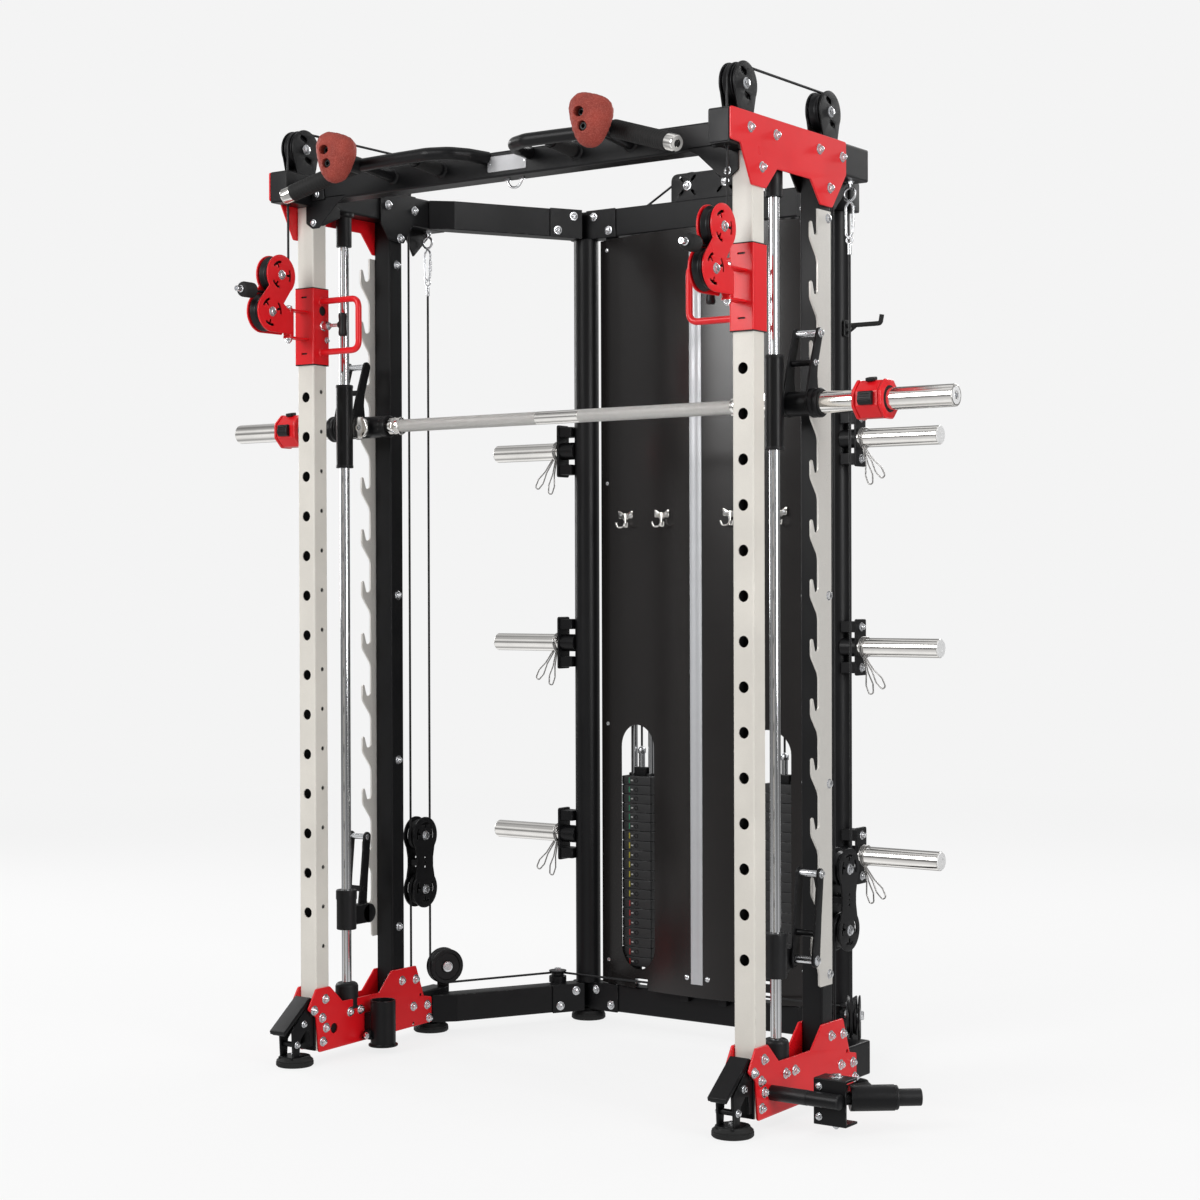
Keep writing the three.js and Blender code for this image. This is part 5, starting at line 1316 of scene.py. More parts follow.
def weight_stack(name, side):
    part = Assembly(f"weight_stack_{name}")
    for way in (-1, 1):
        x = side * STACK_X + way * STACK_ROD_OFFSET
        part["rod_chrome"].rod((x, STACK_ROD_Y, REAR_Z[1] + GAP), (x, STACK_ROD_Y, TOP_Z[0] - GAP),
                               9, 32)
        part["rubber"].pipe((x, STACK_ROD_Y, 131), (x, STACK_ROD_Y, STACK_Z[0]), 19, 9.4, 32, 2)
        part["zinc"].pipe((x, STACK_ROD_Y, REAR_Z[1] + GAP), (x, STACK_ROD_Y, 112), 14, 9.2, 24)
    part["black"].block(mirror(side, STACK_X - 40, STACK_X + 40), (874, 910), (124, 131), 1.2, 3)
    plate_pile(part, side, (STACK_Z[0], STACK_Z[1] - GAP))
    part.finish()


def stack_carriage(name, side):
    part = Assembly(f"stack_carriage_{name}", f"stack_{name}")
    plate_pile(part, side, STACK_Z[1:])
    x, top = side * STACK_X, STACK_Z[2]
    part["rod_chrome"].rod((x, REAR_CABLE_Y, top - 140), (x, REAR_CABLE_Y, 742), 8.6, 32)
    part["zinc"].turned([(0, 0), (11, 0), (11, 12), (8, 16), (4, 18), (0, 18)],
                        (x, REAR_CABLE_Y, 741), Z, 6)
    lug = panel((x - 20, x + 20), (876, 898), 4)
    part["black"].extrude("z", lug, (top - 0.6, 703), [circle((x, REAR_CABLE_Y), 8.8)], 1.4)
    for way in (-1, 1):
        bush = (x + way * STACK_ROD_OFFSET, STACK_ROD_Y, top - 0.5)
        part["plastic"].turned([(9.6, 0), (15, 0), (15, 5), (13.5, 7), (9.6, 7), (9.6, 0)], bush, Z,
                               32)
    part.finish()


# ---- barbell, its sleeves and the stops -----------------------------------------------------
HOOK_X, STOP_X = (645, 705), (650, 704)
HOOK_STATIONS = [(0, 0, 30), (-9, 62, 17), (-9, 92, 14), (0, HOOK_REACH, 13)]
STOP_STATIONS = [(0, 0, 16), (0, STOP_REACH * 0.5, 13), (0, STOP_REACH, 13)]
JOURNAL_END = HALF_SPAN - 4.1
KNURL_END, CLAMP_X, FLANGE_X, SLEEVE_X = 499, 497, 706, 731     # from the middle of the bar
HOUSING_X, HOUSING_CAP_X, WEB_X = 537, 603, 622


def link_point(at, angle, point):
    """A link's point across and along it, in (y, z), with angle from straight up to the back."""
    a, (across, along) = math.radians(angle), point
    return (at[0] + across * math.cos(a) + along * math.sin(a),
            at[1] - across * math.sin(a) + along * math.cos(a))


def link_outline(at, angle, stations):
    """A flat link with round ends; a station along it is across, along, half width."""
    first, last = stations[0], stations[-1]
    points = arc2(first[:2], first[2], 180, 360) + [(u + r, v) for u, v, r in stations[1:-1]]
    points += arc2(last[:2], last[2], 0, 180) + [(u - r, v) for u, v, r in reversed(stations[1:-1])]
    return [link_point(at, angle, p) for p in rounded(points, 26, 5)]


def hook_pair(part, side):
    """The two bar hooks on a hub, joined by a spacer and the pin that drops into the rail."""
    at = (BAR_Y, BAR_Z)
    outline = link_outline(at, HOOK_TILT, HOOK_STATIONS)
    for x in HOOK_X:
        part["black"].extrude("x", outline, mirror(side, x - 3, x + 3), chamfer=0.9)
    spacer, pin = (link_point(at, HOOK_TILT, p) for p in ((-9, 92), (0, HOOK_REACH)))
    part["black"].rod((side * HOOK_X[0], *spacer), (side * HOOK_X[1], *spacer), 7)
    part["zinc"].rod((side * (HOOK_X[0] - 2), *pin), (side * HOOK_X[1], *pin), 8)
    for point, size in ((spacer, 5), (pin, 7)):
        part.screw((side * (HOOK_X[1] + 3), *point), (side, 0, 0), size)


def barbell():
    part = Assembly("barbell", "barbell")
    part["knurl"].rod((-KNURL_END, BAR_Y, BAR_Z), (KNURL_END, BAR_Y, BAR_Z), 16, 48)
    part["chrome"].pipe((-64, BAR_Y, BAR_Z), (64, BAR_Y, BAR_Z), 16.15, 15, 48, 0.3)
    for _, side in SIDES:
        at, way = (side * CLAMP_X, BAR_Y, BAR_Z), (side, 0, 0)
        clamp = [(0, 0), (20, 0), (23, 3), (23, 12), (21.5, 13), (21.5, 19), (23, 20), (23, 31),
                 (21, 33), (0, 33)]
        part["chrome"].turned(clamp, at, way, 48)
        for tilt in (40, 220):
            angle = math.radians(tilt)
            way_out = Vector((0, math.cos(angle), math.sin(angle)))
            foot = Vector((side * (CLAMP_X + 16), BAR_Y, BAR_Z)) + way_out * 20
            part["zinc"].turned([(0, 0), (4.5, 0), (4.5, 4), (3.6, 5), (0, 5)], foot, way_out,
                                HEXAGON)
        part["chrome"].rod((side * 529, BAR_Y, BAR_Z), (side * 735, BAR_Y, BAR_Z), 16, 48)
        part["black"].turned([(0, 0), (26, 0), (28, 2), (28, 64), (0, 64)],
                             (side * (JOURNAL_END + 1), BAR_Y, BAR_Z), way, 48)
        flange = [(0, 0), (30, 0), (33.5, 3), (33.5, 9), (31, 11), (31, 15), (33.5, 17), (33.5, 23),
                  (31, 26), (0, 26)]
        part["black"].turned(flange, (side * FLANGE_X, BAR_Y, BAR_Z), way, 48)
        part["rubber"].turned([(24, 0), (29, 0), (29, 3), (24, 3), (24, 0)],
                              (side * (SLEEVE_X + 0.5), BAR_Y, BAR_Z), way, 48)
        sleeve = [(0, 0), (25, 0), (25, BAR_END - 734), (23.6, BAR_END - 732.4),
                  (20, BAR_END - 732.4), (20, BAR_END - 735), (0, BAR_END - 735)]
        part["chrome"].turned(sleeve, (side * SLEEVE_X, BAR_Y, BAR_Z), way, 56)
        cap = [(0, 0), (20, 0), (20, 4.6), (18.5, 5.6), (10, 5.6), (10, 1), (0, 1)]
        part["cap"].turned(cap, (side * (BAR_END - 6), BAR_Y, BAR_Z), way, 48)
        end_screw = [(0, 0), (8, 0), (8, 3), (7, 4), (4, 4), (4, 1.4), (0, 1.4)]
        part["zinc"].turned(end_screw, (side * (BAR_END - 5.2), BAR_Y, BAR_Z), way, HEXAGON)
        hook_pair(part, side)
    part.finish()


SLEEVE_Z = (1504, 1717)


def bar_sleeve(name, side):
    """The tube that runs on the guide rod, and the bar's bearing housing welded to it."""
    part = Assembly(f"bar_sleeve_{name}", "bar_carriage")
    x, bore = side * ROD_X, ROD_BORE
    part["black"].pipe((x, ROD_Y, SLEEVE_Z[0] + 4), (x, ROD_Y, SLEEVE_Z[1] - 4), 21.5, bore + 2, 48,
                       1.2)
    for z, way in ((SLEEVE_Z[0] + 8, -1), (SLEEVE_Z[1] - 8, 1)):
        part["plastic"].pipe((x, ROD_Y, z), (x, ROD_Y, z + way * 8), 22.4, bore, 48, 1.4)
    housing = [(17, 0), (26, 0), (28, 2), (28, 14), (27, 15), (27, 19), (28, 20), (28, 101),
               (26.5, 103.4), (17, 103.4), (17, 0)]
    part["black"].turned(housing, (side * HOUSING_X, BAR_Y, BAR_Z), (side, 0, 0), 56)
    web = rounded([(ROD_Y + 12, BAR_Z - 26), (BAR_Y, BAR_Z - 26), (BAR_Y, BAR_Z + 26),
                   (ROD_Y + 12, BAR_Z + 26)], 4)
    part["black"].extrude("x", web, mirror(side, WEB_X, JOURNAL_END - 0.4), chamfer=1)
    x, z = side * HOUSING_CAP_X, BAR_Z - 3
    part["black"].rod((x, 156, z), (x, BAR_Y - 16, z), 26.5, 48)
    cap = [(0, 3), (6, 3), (6, 1), (9, 0), (26, 0), (28.5, 2.2), (28.5, 9), (27, 10), (0, 10)]
    part["chrome"].turned(cap, (x, 150, z), Y, 56)
    part["zinc"].turned(puck(5.6, 2.2), (x, 151.4, z), Y, HEXAGON)
    part.finish()


COLLAR_X = 865


def octagon(radius, corner):
    """The collar's outline round the bar, with its corners rounded."""
    turns = (math.radians(22.5 + 45 * i) for i in range(8))
    return rounded([(BAR_Y + radius * math.cos(t), BAR_Z + radius * math.sin(t)) for t in turns],
                   corner)


def collar(name, side):
    part = Assembly(f"collar_{name}", f"collar_{name}")
    bore = circle((BAR_Y, BAR_Z), 25.6, 48)
    part["red"].extrude("x", octagon(45, 7), mirror(side, COLLAR_X - 28, COLLAR_X + 28), [bore],
                        1.6)
    for way in (-1, 1):
        part["red"].extrude("x", octagon(47.4, 12), mirror(side, COLLAR_X + way * 37,
                                                           COLLAR_X + way * 29), [bore], 2.2)
        grip = circle((BAR_Y, BAR_Z), 30, 48)
        part["rubber"].extrude("x", grip, mirror(side, COLLAR_X + way * 36, COLLAR_X + way * 37.4),
                               [bore], 0.4)
    lever = rounded([(BAR_Y - 40, BAR_Z - 15), (BAR_Y - 50, BAR_Z - 14), (BAR_Y - 55, BAR_Z - 4),
                     (BAR_Y - 52, BAR_Z + 15), (BAR_Y - 40, BAR_Z + 17)], 4)
    part["plastic"].extrude("x", lever, mirror(side, COLLAR_X - 17, COLLAR_X + 17), chamfer=1.6)
    for i in range(4):
        z = BAR_Z - 8 + 5.5 * i
        part["plastic"].extrude("z", panel(mirror(side, COLLAR_X - 13, COLLAR_X + 13),
                                           (BAR_Y - 55.4, BAR_Y - 50), 1), (z, z + 2.4),
                                chamfer=0.6)
    tab = rounded([(BAR_Y - 26, BAR_Z + 38), (BAR_Y - 6, BAR_Z + 43), (BAR_Y - 8, BAR_Z + 50),
                   (BAR_Y - 28, BAR_Z + 46)], 2)
    part["plastic"].extrude("x", tab, mirror(side, COLLAR_X - 10, COLLAR_X + 10), chamfer=1.2)
    part.finish()


def stop_sleeve(name, side):
    part = Assembly(f"stop_sleeve_{name}", f"stop_{name}")
    x, bore = side * ROD_X, ROD_BORE
    body = [(bore, 318), (24.5, 318), (25.5, 319), (25.5, 394), (27, 396), (27, 417), (25.5, 419.5),
            (bore, 419.5), (bore, 318)]
    part["plastic"].turned(body, (x, ROD_Y, 0), Z, 56)
    web = rounded([(ROD_Y + 12, STOP_Z - 24), (STOP_Y, STOP_Z - 24), (STOP_Y, STOP_Z + 26),
                   (ROD_Y + 12, STOP_Z + 26)], 4)
    part["black"].extrude("x", web, mirror(side, WEB_X, 646.4), chamfer=1.6)
    part["black"].turned([(0, 0), (23, 0), (25, 2), (25, 22.4), (23, 24.4), (0, 24.4)],
                         (side * WEB_X, STOP_Y, STOP_Z), (side, 0, 0), 48)
    part["zinc"].rod((side * 640, STOP_Y, STOP_Z), (side * 707, STOP_Y, STOP_Z), 8, 28)
    part.screw((side * 707.4, STOP_Y, STOP_Z), (side, 0, 0), 7.6)
    part.finish()


def stop_arm(name, side):
    part = Assembly(f"stop_arm_{name}", f"stop_arm_{name}")
    at = (STOP_Y, STOP_Z)
    outline = link_outline(at, STOP_TILT, STOP_STATIONS)
    for x in STOP_X:
        part["black"].extrude("x", outline, mirror(side, x - 3, x + 3), [circle(at, 8.9)], 0.9)
    for along, finish in ((60, "black"), (STOP_REACH, "zinc")):
        point = link_point(at, STOP_TILT, (0, along))
        part[finish].rod((side * (STOP_X[0] - 4), *point), (side * (STOP_X[1] + 2), *point), 7.6,
                         32)
    tip = link_point(at, STOP_TILT, (0, STOP_REACH))
    part.screw((side * (STOP_X[1] + 3), *tip), (side, 0, 0), 6.6)
    part.finish()


# ---- pulley carriages and swivels -----------------------------------------------------------
BARREL_Z = (1825, 1888)
WINDOW_AT, PIN_SLOT_Z = (30, 1895), (1786, 1928)
LUG_Z = ((BARREL_Z[0] - 5.3, BARREL_Z[0] - GAP), (BARREL_Z[1] + GAP, BARREL_Z[1] + 5.3))
HANDLE_REACH, HANDLE_Z = 155, (1790, 1918)


def pulley_carriage(name, side):
    part = Assembly(f"pulley_carriage_{name}", f"carriage_{name}")
    low, high = CARRIAGE_Z
    outer = panel(outs(side, -31, 31), (-5.5, 54.5), 4)
    inner = panel(outs(side, -28.6, 28.6), (-2, 51), 3)
    part["red"].extrude("z", outer, (low + 2.5, high - 2.5), [inner], 0.5)
    for z in PIN_SLOT_Z:
        part.bore("red").extrude("y", oval((side * HALF_SPAN, z), 20, 4.4, 0), (-9, 2), chamfer=0)
    window = (side_point(side, -36, *WINDOW_AT), side_point(side, -24, *WINDOW_AT))
    part.bore("red").rod(*window, 12.5, 36, 0)
    liner = panel(outs(side, -27.9, 27.9), (-1.2, 50.2), 3)
    liner_bore = panel(outs(side, -27.2, 27.2), (-0.4, 49.4), 3)
    for ends in ((low, low + 42), (high - 42, high)):
        part["plastic"].extrude("z", liner, ends, [liner_bore], 0.2)
        edge = low if ends[0] == low else high - 2.4
        part["plastic"].extrude("z", outer, (edge, edge + 2.4), [liner_bore], 0.7)
    part["plastic"].turned(puck(13, 0.5), side_point(side, -27.9, *WINDOW_AT), (-side, 0, 0), 32)
    carriage_handle(part, side)
    for zs in LUG_Z:
        ear = [(side * HALF_SPAN - 14, -5), (side * HALF_SPAN - 14, FRONT_CABLE_Y)]
        ear += arc2((side * HALF_SPAN, FRONT_CABLE_Y), 14, 180, 360)
        ear += [(side * HALF_SPAN + 14, -5)]
        part["red"].extrude("z", ear, zs, [circle((side * HALF_SPAN, FRONT_CABLE_Y), 6.2)], 0.8)
    x = side * HALF_SPAN
    part["zinc"].rod((x, FRONT_CABLE_Y, LUG_Z[0][0] - 2), (x, FRONT_CABLE_Y, LUG_Z[1][1] + 1), 6)
    part["zinc"].turned([(0, 0), (12, 0), (12, 1.4), (9.2, 1.6), (9.2, 7), (7.6, 8.4), (0, 8.4)],
                        (x, FRONT_CABLE_Y, LUG_Z[1][1]), Z, 6)
    part.nut((x, FRONT_CABLE_Y, LUG_Z[0][0]), -Z, 7.5)
    barrel = [(5.2, 0), (13, 0), (13, 5), (11, 6), (11, 22), (9.6, 24.5), (5.2, 24.5), (5.2, 0)]
    part["zinc"].turned(barrel, side_point(side, -31, SIDE_HOLE_Y, PIN_Z), (-side, 0, 0), 6, 1.8)
    part.screw(side_point(side, -31, 44, 1822), (-side, 0, 0), 5)
    part.finish()


def carriage_handle(part, side):
    low, high = HANDLE_Z
    corners = [(-30, high), (-HANDLE_REACH, high), (-HANDLE_REACH, low), (-30, low)]
    route = bent([side_point(side, distance, 25, z) for distance, z in corners], 24, 9)
    part["red_bar"].sweep(route, 7.9, 24)
    for z in HANDLE_Z:
        weld = [(0, 0), (11, 0), (10, 1.6), (8.2, 3.4), (0, 3.4)]
        part["red_bar"].turned(weld, side_point(side, -30.6, 25, z), (-side, 0, 0), 28)


def pop_pin(name, side):
    part = Assembly(f"pop_pin_{name}", f"pop_pin_{name}")
    part["zinc"].rod(side_point(side, -29, SIDE_HOLE_Y, PIN_Z),
                     side_point(side, -92, SIDE_HOLE_Y, PIN_Z), 4.6, 24)
    stem = [(0, 0), (8, 0), (9, 1.5), (8, 7), (9.6, 12), (0, 12)]
    part["plastic"].turned(stem, side_point(side, -88, SIDE_HOLE_Y, PIN_Z), (-side, 0, 0), 32)
    grip = [(0, -29), (8, -29), (10.4, -26), (11, -21), (10, -10), (9.4, 0), (10, 10), (11, 21),
            (10.4, 26), (8, 29), (0, 29)]
    part["plastic"].turned(grip, side_point(side, -100, SIDE_HOLE_Y, PIN_Z), Z, 32)
    part.finish()


def t_slot(centre, middle, spread=27):
    """A curved slot with a short stem towards the centre."""
    points = arc2(centre, 35, middle - spread, middle + spread) + arc2(centre, 29, middle + spread,
                                                                       middle + 6)
    points += arc2(centre, 19, middle + 8, middle - 8) + arc2(centre, 29, middle - 6,
                                                              middle - spread)
    return rounded(points, 1.6, 2)


def swivel_outline():
    neck = [(-138, 1828.2), (-70, 1829), (-66, 1833), (-66, 1876), (-99, 1902)]
    upper = arc2(SWIVEL_UPPER, 50, -50, 215, 6)
    lower = arc2(SWIVEL_LOWER, 50, 130, 264, 6)
    return upper + lower + neck


def swivel(name, side):
    part = Assembly(f"swivel_{name}", f"swivel_{name}")
    slots = [t_slot(SWIVEL_UPPER, middle) for middle in (0, 115, 235)]
    slots += [t_slot(SWIVEL_LOWER, middle) for middle in (20, 130, 255)]
    for face in (-1, 1):
        part["red"].extrude("x", swivel_outline(), outs(side, face * 16, face * 20), slots, 0.8)
        for centre in (SWIVEL_UPPER, SWIVEL_LOWER):
            part.screw(side_point(side, face * 20, *centre), (side * face, 0, 0), 8)
    for centre in (SWIVEL_UPPER, SWIVEL_LOWER):
        part["zinc"].rod(side_point(side, -20.5, *centre), side_point(side, 20.5, *centre), 5)
    part["red"].block(outs(side, -16.2, 16.2), (-86, -76), (1834, 1880), 1)
    x = side * HALF_SPAN
    part["red"].pipe((x, FRONT_CABLE_Y, BARREL_Z[0]), (x, FRONT_CABLE_Y, BARREL_Z[1]), 13, 6.7, 36,
                     1)
    part["red"].block(outs(side, -7, 7), (-78, FRONT_CABLE_Y - 8), (1832, 1880), 0.8)
    part.finish()


def ball_stop(name, side):
    """The cable's end at the swivel: the turning stretch, the rubber stop and its steel socket."""
    part = Assembly(f"ball_stop_{name}", f"swivel_{name}")
    x, (y, z) = side * HALF_SPAN, SWIVEL_UPPER
    lead = [(x, -190, z - WRAP)] + arc3((x, y, z), Y, Z, WRAP, -90, 0) + [(x, FRONT_CABLE_Y, z + 6)]
    part["cable"].sweep(lead, CABLE_R, 16)
    stop = [(3.2, 0), (10, 0), (15, 2), (18.5, 6), (19, 10), (19, 36), (17.6, 40.5), (14, 43.5),
            (9.5, 44), (9.5, 30), (3.2, 30), (3.2, 0)]
    part["rubber"].turned(stop, (x, -185, z - WRAP), -Y, 48)
    socket = [(0, 30), (9.3, 30), (9.3, 46), (8.3, 47.5), (7.2, 48), (7.2, 60), (6.2, 61.5),
              (4, 61.5), (4, 52), (0, 52)]
    part["rod_chrome"].turned(socket, (x, -185, z - WRAP), -Y, 36)
    part.finish()


# ---- wheels, float blocks and cables --------------------------------------------------------
def wheel(name, body, centre, axis, rim, wrap, half):
    """A grooved nylon wheel with a dished web and a pressed-in bearing."""
    part = Assembly(name, body)
    groove = wrap - CABLE_R - 0.4
    edge = [(rim - 1, -half), (rim, 1 - half), (rim, 2.4 - half), (groove, -2.2), (groove - 0.6, 0),
            (groove, 2.2), (rim, half - 2.4), (rim, half - 1), (rim - 1, half)]
    web = [(groove - 5, half), (groove - 7, half - 3), (17, half - 3), (15.5, half - 0.6),
           (12, half - 0.6)]
    profile = web + [(12, 0.6 - half), (15.5, 0.6 - half), (17, 3 - half), (groove - 7, 3 - half),
                     (groove - 5, -half)] + edge
    part["nylon"].turned(profile + [profile[0]], centre, axis, 64)
    bearing = [(5.8, 0.8 - half), (8, 0.8 - half), (8.4, 1.6 - half), (10, 1.6 - half),
               (10.4, 0.8 - half), (11.9, 0.8 - half), (11.9, half - 0.8), (10.4, half - 0.8),
               (10, half - 1.6), (8.4, half - 1.6), (8, half - 0.8), (5.8, half - 0.8),
               (5.8, 0.8 - half)]
    part["zinc"].turned(bearing, centre, axis, 40)
    part.finish()


BIG_WHEEL, FLOAT_WHEEL = (47, WRAP, 12), (41, FLOAT_WRAP, 10)


def side_wheels(name, side):
    x = side * HALF_SPAN
    wheel(f"swivel_wheel_upper_{name}", f"swivel_upper_wheel_{name}", (x, *SWIVEL_UPPER), X,
          *BIG_WHEEL)
    wheel(f"swivel_wheel_lower_{name}", f"swivel_lower_wheel_{name}", (x, *SWIVEL_LOWER), X,
          *BIG_WHEEL)
    wheel(f"top_wheel_front_{name}", f"top_front_wheel_{name}", (x, FRONT_SHEAVE_Y, TOP_SHEAVE_Z),
          X, *BIG_WHEEL)
    wheel(f"top_wheel_back_{name}", f"top_back_wheel_{name}", (x, BACK_SHEAVE_Y, TOP_SHEAVE_Z), X,
          *BIG_WHEEL)
    wheel(f"float_wheel_lower_{name}", f"float_lower_wheel_{name}", (x, FLOAT_Y, FLOAT_Z[0]), X,
          *FLOAT_WHEEL)
    wheel(f"float_wheel_upper_{name}", f"float_upper_wheel_{name}", (x, FLOAT_Y, FLOAT_Z[1]), X,
          *FLOAT_WHEEL)
    wheel(f"low_wheel_{name}", f"low_wheel_{name}", low_sheave(side), low_axis(side), *BIG_WHEEL)


def float_block(name, side):
    """Two waisted plates with a wheel at each end."""
    part = Assembly(f"float_block_{name}", f"float_{name}")
    low, high = FLOAT_Z
    upper, lower = arc2((FLOAT_Y, high), 49.5, -38, 218, 6), arc2((FLOAT_Y, low), 49.5, 142, 398, 6)
    waist = [(FLOAT_Y - 33, 472), (FLOAT_Y - 33, 448)]
    other = [(FLOAT_Y + 33, 448), (FLOAT_Y + 33, 472)]
    outline = upper + waist + lower + other
    slots = [t_slot((FLOAT_Y, z), middle) for z in FLOAT_Z for middle in (10, 170,
                                                                          270 if z == low else 90)]
    slots += [circle((FLOAT_Y, z), 3.2, 16) for z in (448, 460, 472)]
    for face in (-1, 1):
        part["black"].extrude("x", outline, outs(side, face * 14, face * 18), slots, 0.8)
        for z in FLOAT_Z:
            part.screw(side_point(side, face * 18, FLOAT_Y, z), (side * face, 0, 0), 8.5)
    for z in FLOAT_Z:
        part["zinc"].rod(side_point(side, -18.5, FLOAT_Y, z), side_point(side, 18.5, FLOAT_Y, z), 5)
    part["black"].block(outs(side, -14.2, 14.2), (FLOAT_Y - 26, FLOAT_Y - 18), (452, 468), 0.8)
    part["black"].block(outs(side, -14.2, 14.2), (FLOAT_Y + 18, FLOAT_Y + 26), (452, 468), 0.8)
    part.finish()


def upper_cable(name, side):
    """From the swivel over the top pulleys, round the float block and up to its snap link."""
    part = Assembly(f"upper_cable_{name}")
    x, y = side * HALF_SPAN, FLOAT_CABLE_Y[1]
    run = [Vector((x, FRONT_CABLE_Y, SWIVEL_UPPER[1] + 6.3))]
    run += arc3((x, FRONT_SHEAVE_Y, TOP_SHEAVE_Z), Y, Z, WRAP, 180, 90)
    run += arc3((x, BACK_SHEAVE_Y, TOP_SHEAVE_Z), Y, Z, WRAP, 90, 0)
    run += arc3((x, FLOAT_Y, FLOAT_Z[1]), Y, Z, FLOAT_WRAP, 180, 360)
    run += [Vector((x, y, LINK_Z))]
    part["cable"].sweep(run, CABLE_R, 16)
    part["zinc"].turned([(3.2, 0), (4.6, 0.6), (5, 2), (5, 24), (4.4, 26), (0, 26)],
                        (x, y, LINK_Z - 22), Z, 24)
    eye = arc3((x, y, LINK_Z + 13), X, Z, 8, 0, 354)
    part["zinc"].sweep(eye, 2.2, 12, closed=True)
    link = bent([(x - 1, y, LINK_Z + 17), (x - 9, y, LINK_Z + 26), (x - 10, y, LINK_Z + 92),
                 (x, y, LINK_Z + 106), (x + 10, y, LINK_Z + 92), (x + 8, y, LINK_Z + 30),
                 (x + 1, y, LINK_Z + 19)], 9, 8)
    part["zinc"].sweep(link, 2.9, 14)
    part["zinc"].pipe((x + 8.4, y, LINK_Z + 44), (x + 9.2, y, LINK_Z + 74), 4.4, 3, 6, 0.5)
    part.finish()


def lower_cable(name, side):
    """From the base round the float block, under the low pulley and back to the weight stack."""
    part = Assembly(f"lower_cable_{name}")
    x, outward = side * HALF_SPAN, Vector((side, 0, 0))
    drop = math.atan2(TOP_WHEEL[1] - STACK_WHEEL[1], STACK_WHEEL[0] - TOP_WHEEL[0])
    leave = 90 - math.degrees(drop)
    run = [Vector((x, FLOAT_CABLE_Y[0], BASE_Z[1] + GAP))]
    run += arc3((x, FLOAT_Y, FLOAT_Z[0]), Y, Z, FLOAT_WRAP, 180, 0)
    run += arc3(low_sheave(side), low_way(side), Z, WRAP, 180, 270)
    run += arc3((*corner_roller(side), LOW_RUN_Z), outward, Y, CORNER_WRAP, LOW_TURN, 90)
    run += arc3((side * LOW_WHEEL[0], REAR_RUN_Y, LOW_WHEEL[1]), outward, Z, REAR_WRAP, 270, 180)
    run += arc3((side * TOP_WHEEL[0], REAR_CABLE_Y, TOP_WHEEL[1]), outward, Z, REAR_WRAP, 180,
                leave)
    run += arc3((side * STACK_WHEEL[0], REAR_CABLE_Y, STACK_WHEEL[1]), outward, Z, REAR_WRAP, leave,
                0)
    run += [Vector((side * STACK_X, REAR_CABLE_Y, 760.3))]
    part["cable"].sweep(run, CABLE_R, 16)
    part["zinc"].turned([(3.2, 0), (5, 1), (5, 20), (3.2, 22), (0, 22)],
                        (x, FLOAT_CABLE_Y[0], BASE_Z[1] + GAP), Z, 6)
    part.finish()


# ---- camera, light and floor ----------------------------------------------------------------
CAMERA_AT = Vector((3.2498, -4.5810, 1.2068))
CAMERA_YAW, CAMERA_PITCH, CAMERA_ROLL = (math.radians(a) for a in (35.177, -0.431, -0.179))
LENS, SENSOR = 67.93, 36


def make_camera():
    forward = Vector((-math.sin(CAMERA_YAW) * math.cos(CAMERA_PITCH),
                      math.cos(CAMERA_YAW) * math.cos(CAMERA_PITCH), math.sin(CAMERA_PITCH)))
    right = Vector((math.cos(CAMERA_YAW), math.sin(CAMERA_YAW), 0))
    up = right.cross(forward)
    rolled_right = right * math.cos(CAMERA_ROLL) + up * math.sin(CAMERA_ROLL)
    rolled_up = up * math.cos(CAMERA_ROLL) - right * math.sin(CAMERA_ROLL)
    data = bpy.data.cameras.new("camera")
    data.lens, data.sensor_width = LENS, SENSOR
    camera = bpy.data.objects.new("camera", data)
    rotation = Matrix((rolled_right, rolled_up, -forward)).transposed()
    camera.matrix_world = Matrix.Translation(CAMERA_AT) @ rotation.to_4x4()
    bpy.context.scene.collection.objects.link(camera)
    bpy.context.scene.camera = camera


def area_light(name, at, target, size, power):
    data = bpy.data.lights.new(name, "AREA")
    data.shape, data.size, data.size_y = "RECTANGLE", *size
    data.energy = power
    light = bpy.data.objects.new(name, data)
    light.location = at
    light.rotation_euler = (Vector(target) - Vector(at)).to_track_quat("-Z", "Y").to_euler()
    bpy.context.scene.collection.objects.link(light)


BACKDROP = grey(0.905)
FLOOR_SIZE, FLOOR_DROP = 160, 0.0005
FLOOR_FADE = (2.4, 8.0)     # the distances between which the floor turns into the backdrop


def make_floor():
    """A pale studio floor that runs into the backdrop; it only darkens a little in shadow."""
    bpy.ops.mesh.primitive_plane_add(size=FLOOR_SIZE)
    floor = bpy.context.object
    floor.name = "floor"
    nodes = Nodes("floor")
    reach = nodes.node("ShaderNodeVectorMath", operation="LENGTH")
    nodes.link(nodes.coordinates, reach.inputs[0])
    far = nodes.remap(reach.outputs["Value"], *FLOOR_FADE)
    nodes.set(Base_Color=nodes.mix(far, grey(0.14), grey(0)), Roughness=1.0, Specular_IOR_Level=0.0)
    nodes.set(Emission_Color=nodes.mix(far, grey(0.8), BACKDROP), Emission_Strength=1.0)
    floor.data.materials.append(nodes.material)
    floor.location.z = -FLOOR_DROP
    floor.visible_diffuse = floor.visible_glossy = False


# brightness by height, from straight down at 0 to straight up at 1
ROOM_GLOW = ((0.0, 0.7), (0.36, 0.62), (0.47, 0.16), (0.53, 0.24), (0.66, 0.62), (0.8, 0.3),
             (1.0, 0.75))
PANEL_COUNT, PANEL_TURN, PANEL_CONTRAST = 5.0, 0.7, 0.45


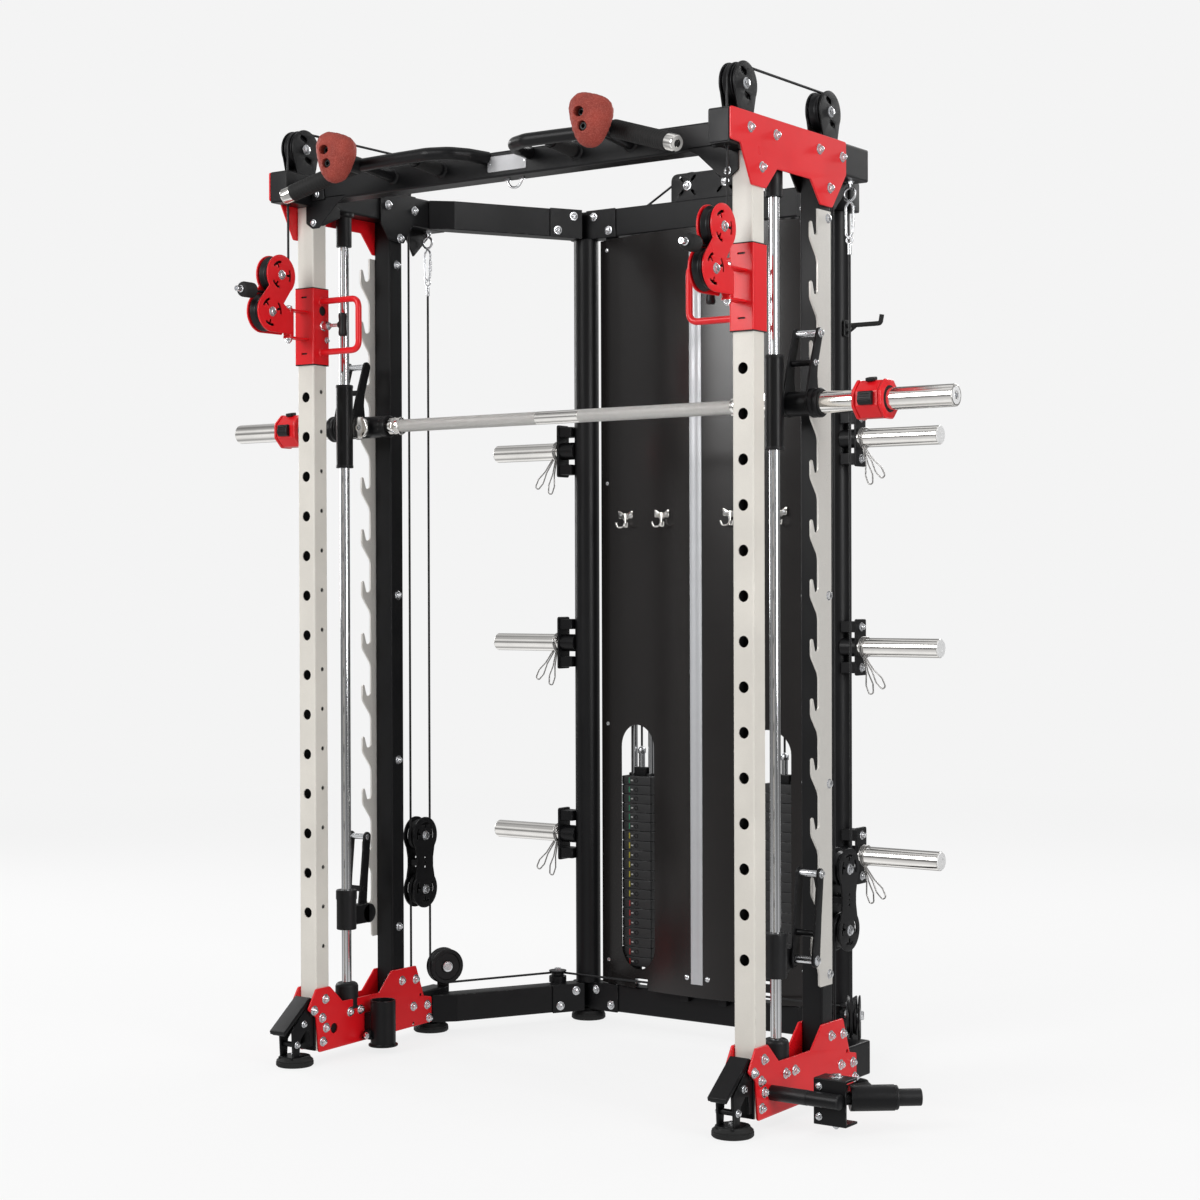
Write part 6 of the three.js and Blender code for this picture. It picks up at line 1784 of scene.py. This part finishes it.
def room_glow(tree, room):
    """What the machine mirrors: a bright floor and ceiling, a dark skyline and tall pale panels."""
    def math_node(operation, *values):
        node = tree.nodes.new("ShaderNodeMath")
        node.operation = operation
        for socket, value in zip(node.inputs, values):
            if isinstance(value, (int, float)):
                socket.default_value = value
            else:
                tree.links.new(value, socket)
        return node.outputs[0]

    way = tree.nodes.new("ShaderNodeTexCoord").outputs["Generated"]
    split = tree.nodes.new("ShaderNodeSeparateXYZ")
    tree.links.new(way, split.inputs[0])
    ramp = tree.nodes.new("ShaderNodeValToRGB")
    ramp.color_ramp.interpolation = "EASE"
    points = ramp.color_ramp.elements
    while len(points) < len(ROOM_GLOW):
        points.new(0.5)
    for point, (at, glow) in zip(points, ROOM_GLOW):
        point.position, point.color = at, (glow, glow, glow, 1)
    tree.links.new(math_node("MULTIPLY_ADD", split.outputs["Z"], 0.5, 0.5), ramp.inputs["Fac"])
    turn = math_node("ARCTAN2", split.outputs["X"], split.outputs["Y"])
    panels = math_node("SINE", math_node("MULTIPLY_ADD", turn, PANEL_COUNT, PANEL_TURN))
    strength = math_node("MULTIPLY_ADD", panels, PANEL_CONTRAST, 1.0)
    tree.links.new(ramp.outputs["Color"], room.inputs["Color"])
    tree.links.new(strength, room.inputs["Strength"])


# name, place, target, width and height, power
LAMPS = (
    ("key", (-1.6, -5.2, 3.6), (0, 0, 1.1), (2.6, 3.0), 170),
    ("side", (5.2, -1.2, 2.4), (0, 0, 1.2), (1.4, 3.4), 120),
    ("far side", (-5.0, 0.6, 2.6), (0, 0, 1.2), (1.4, 3.2), 90),
    ("back", (0.4, 4.8, 3.6), (0, 0, 1.2), (3.0, 1.6), 90),
)


def make_light():
    world = bpy.data.worlds.new("studio")
    world.use_nodes = True
    tree = world.node_tree
    room = tree.nodes["Background"]
    room_glow(tree, room)
    backdrop = tree.nodes.new("ShaderNodeBackground")
    backdrop.inputs["Color"].default_value = (*BACKDROP, 1)
    choose, rays = tree.nodes.new("ShaderNodeMixShader"), tree.nodes.new("ShaderNodeLightPath")
    tree.links.new(rays.outputs["Is Camera Ray"], choose.inputs["Fac"])
    tree.links.new(room.outputs[0], choose.inputs[1])
    tree.links.new(backdrop.outputs[0], choose.inputs[2])
    tree.links.new(choose.outputs[0], tree.nodes["World Output"].inputs["Surface"])
    bpy.context.scene.world = world
    bpy.context.scene.view_settings.view_transform = "Standard"
    for lamp in LAMPS:
        area_light(*lamp)
    make_floor()


# ---- the machine ----------------------------------------------------------------------------
def base_side(name, side):
    part = Assembly(f"base_side_{name}")
    side_base(part, side)
    (bar_cup if side < 0 else landmine_bracket)(part)
    part.finish()


SIDE_PARTS = (base_side, front_upright, rear_upright, guide_rod, top_side, climbing_hold,
              rear_column, weight_stack, stack_carriage, bar_sleeve, collar, stop_sleeve, stop_arm,
              pulley_carriage, pop_pin, swivel, ball_stop, side_wheels, float_block, upper_cable,
              lower_cable)
SINGLE_PARTS = (pullup_bar, rear_top_frame, rear_bottom_frame, rear_shroud, barbell, landmine_arm)

make_camera()
make_light()
for side_name, side_way in SIDES:
    for make_part in SIDE_PARTS:
        make_part(side_name, side_way)
for make_part in SINGLE_PARTS:
    make_part()
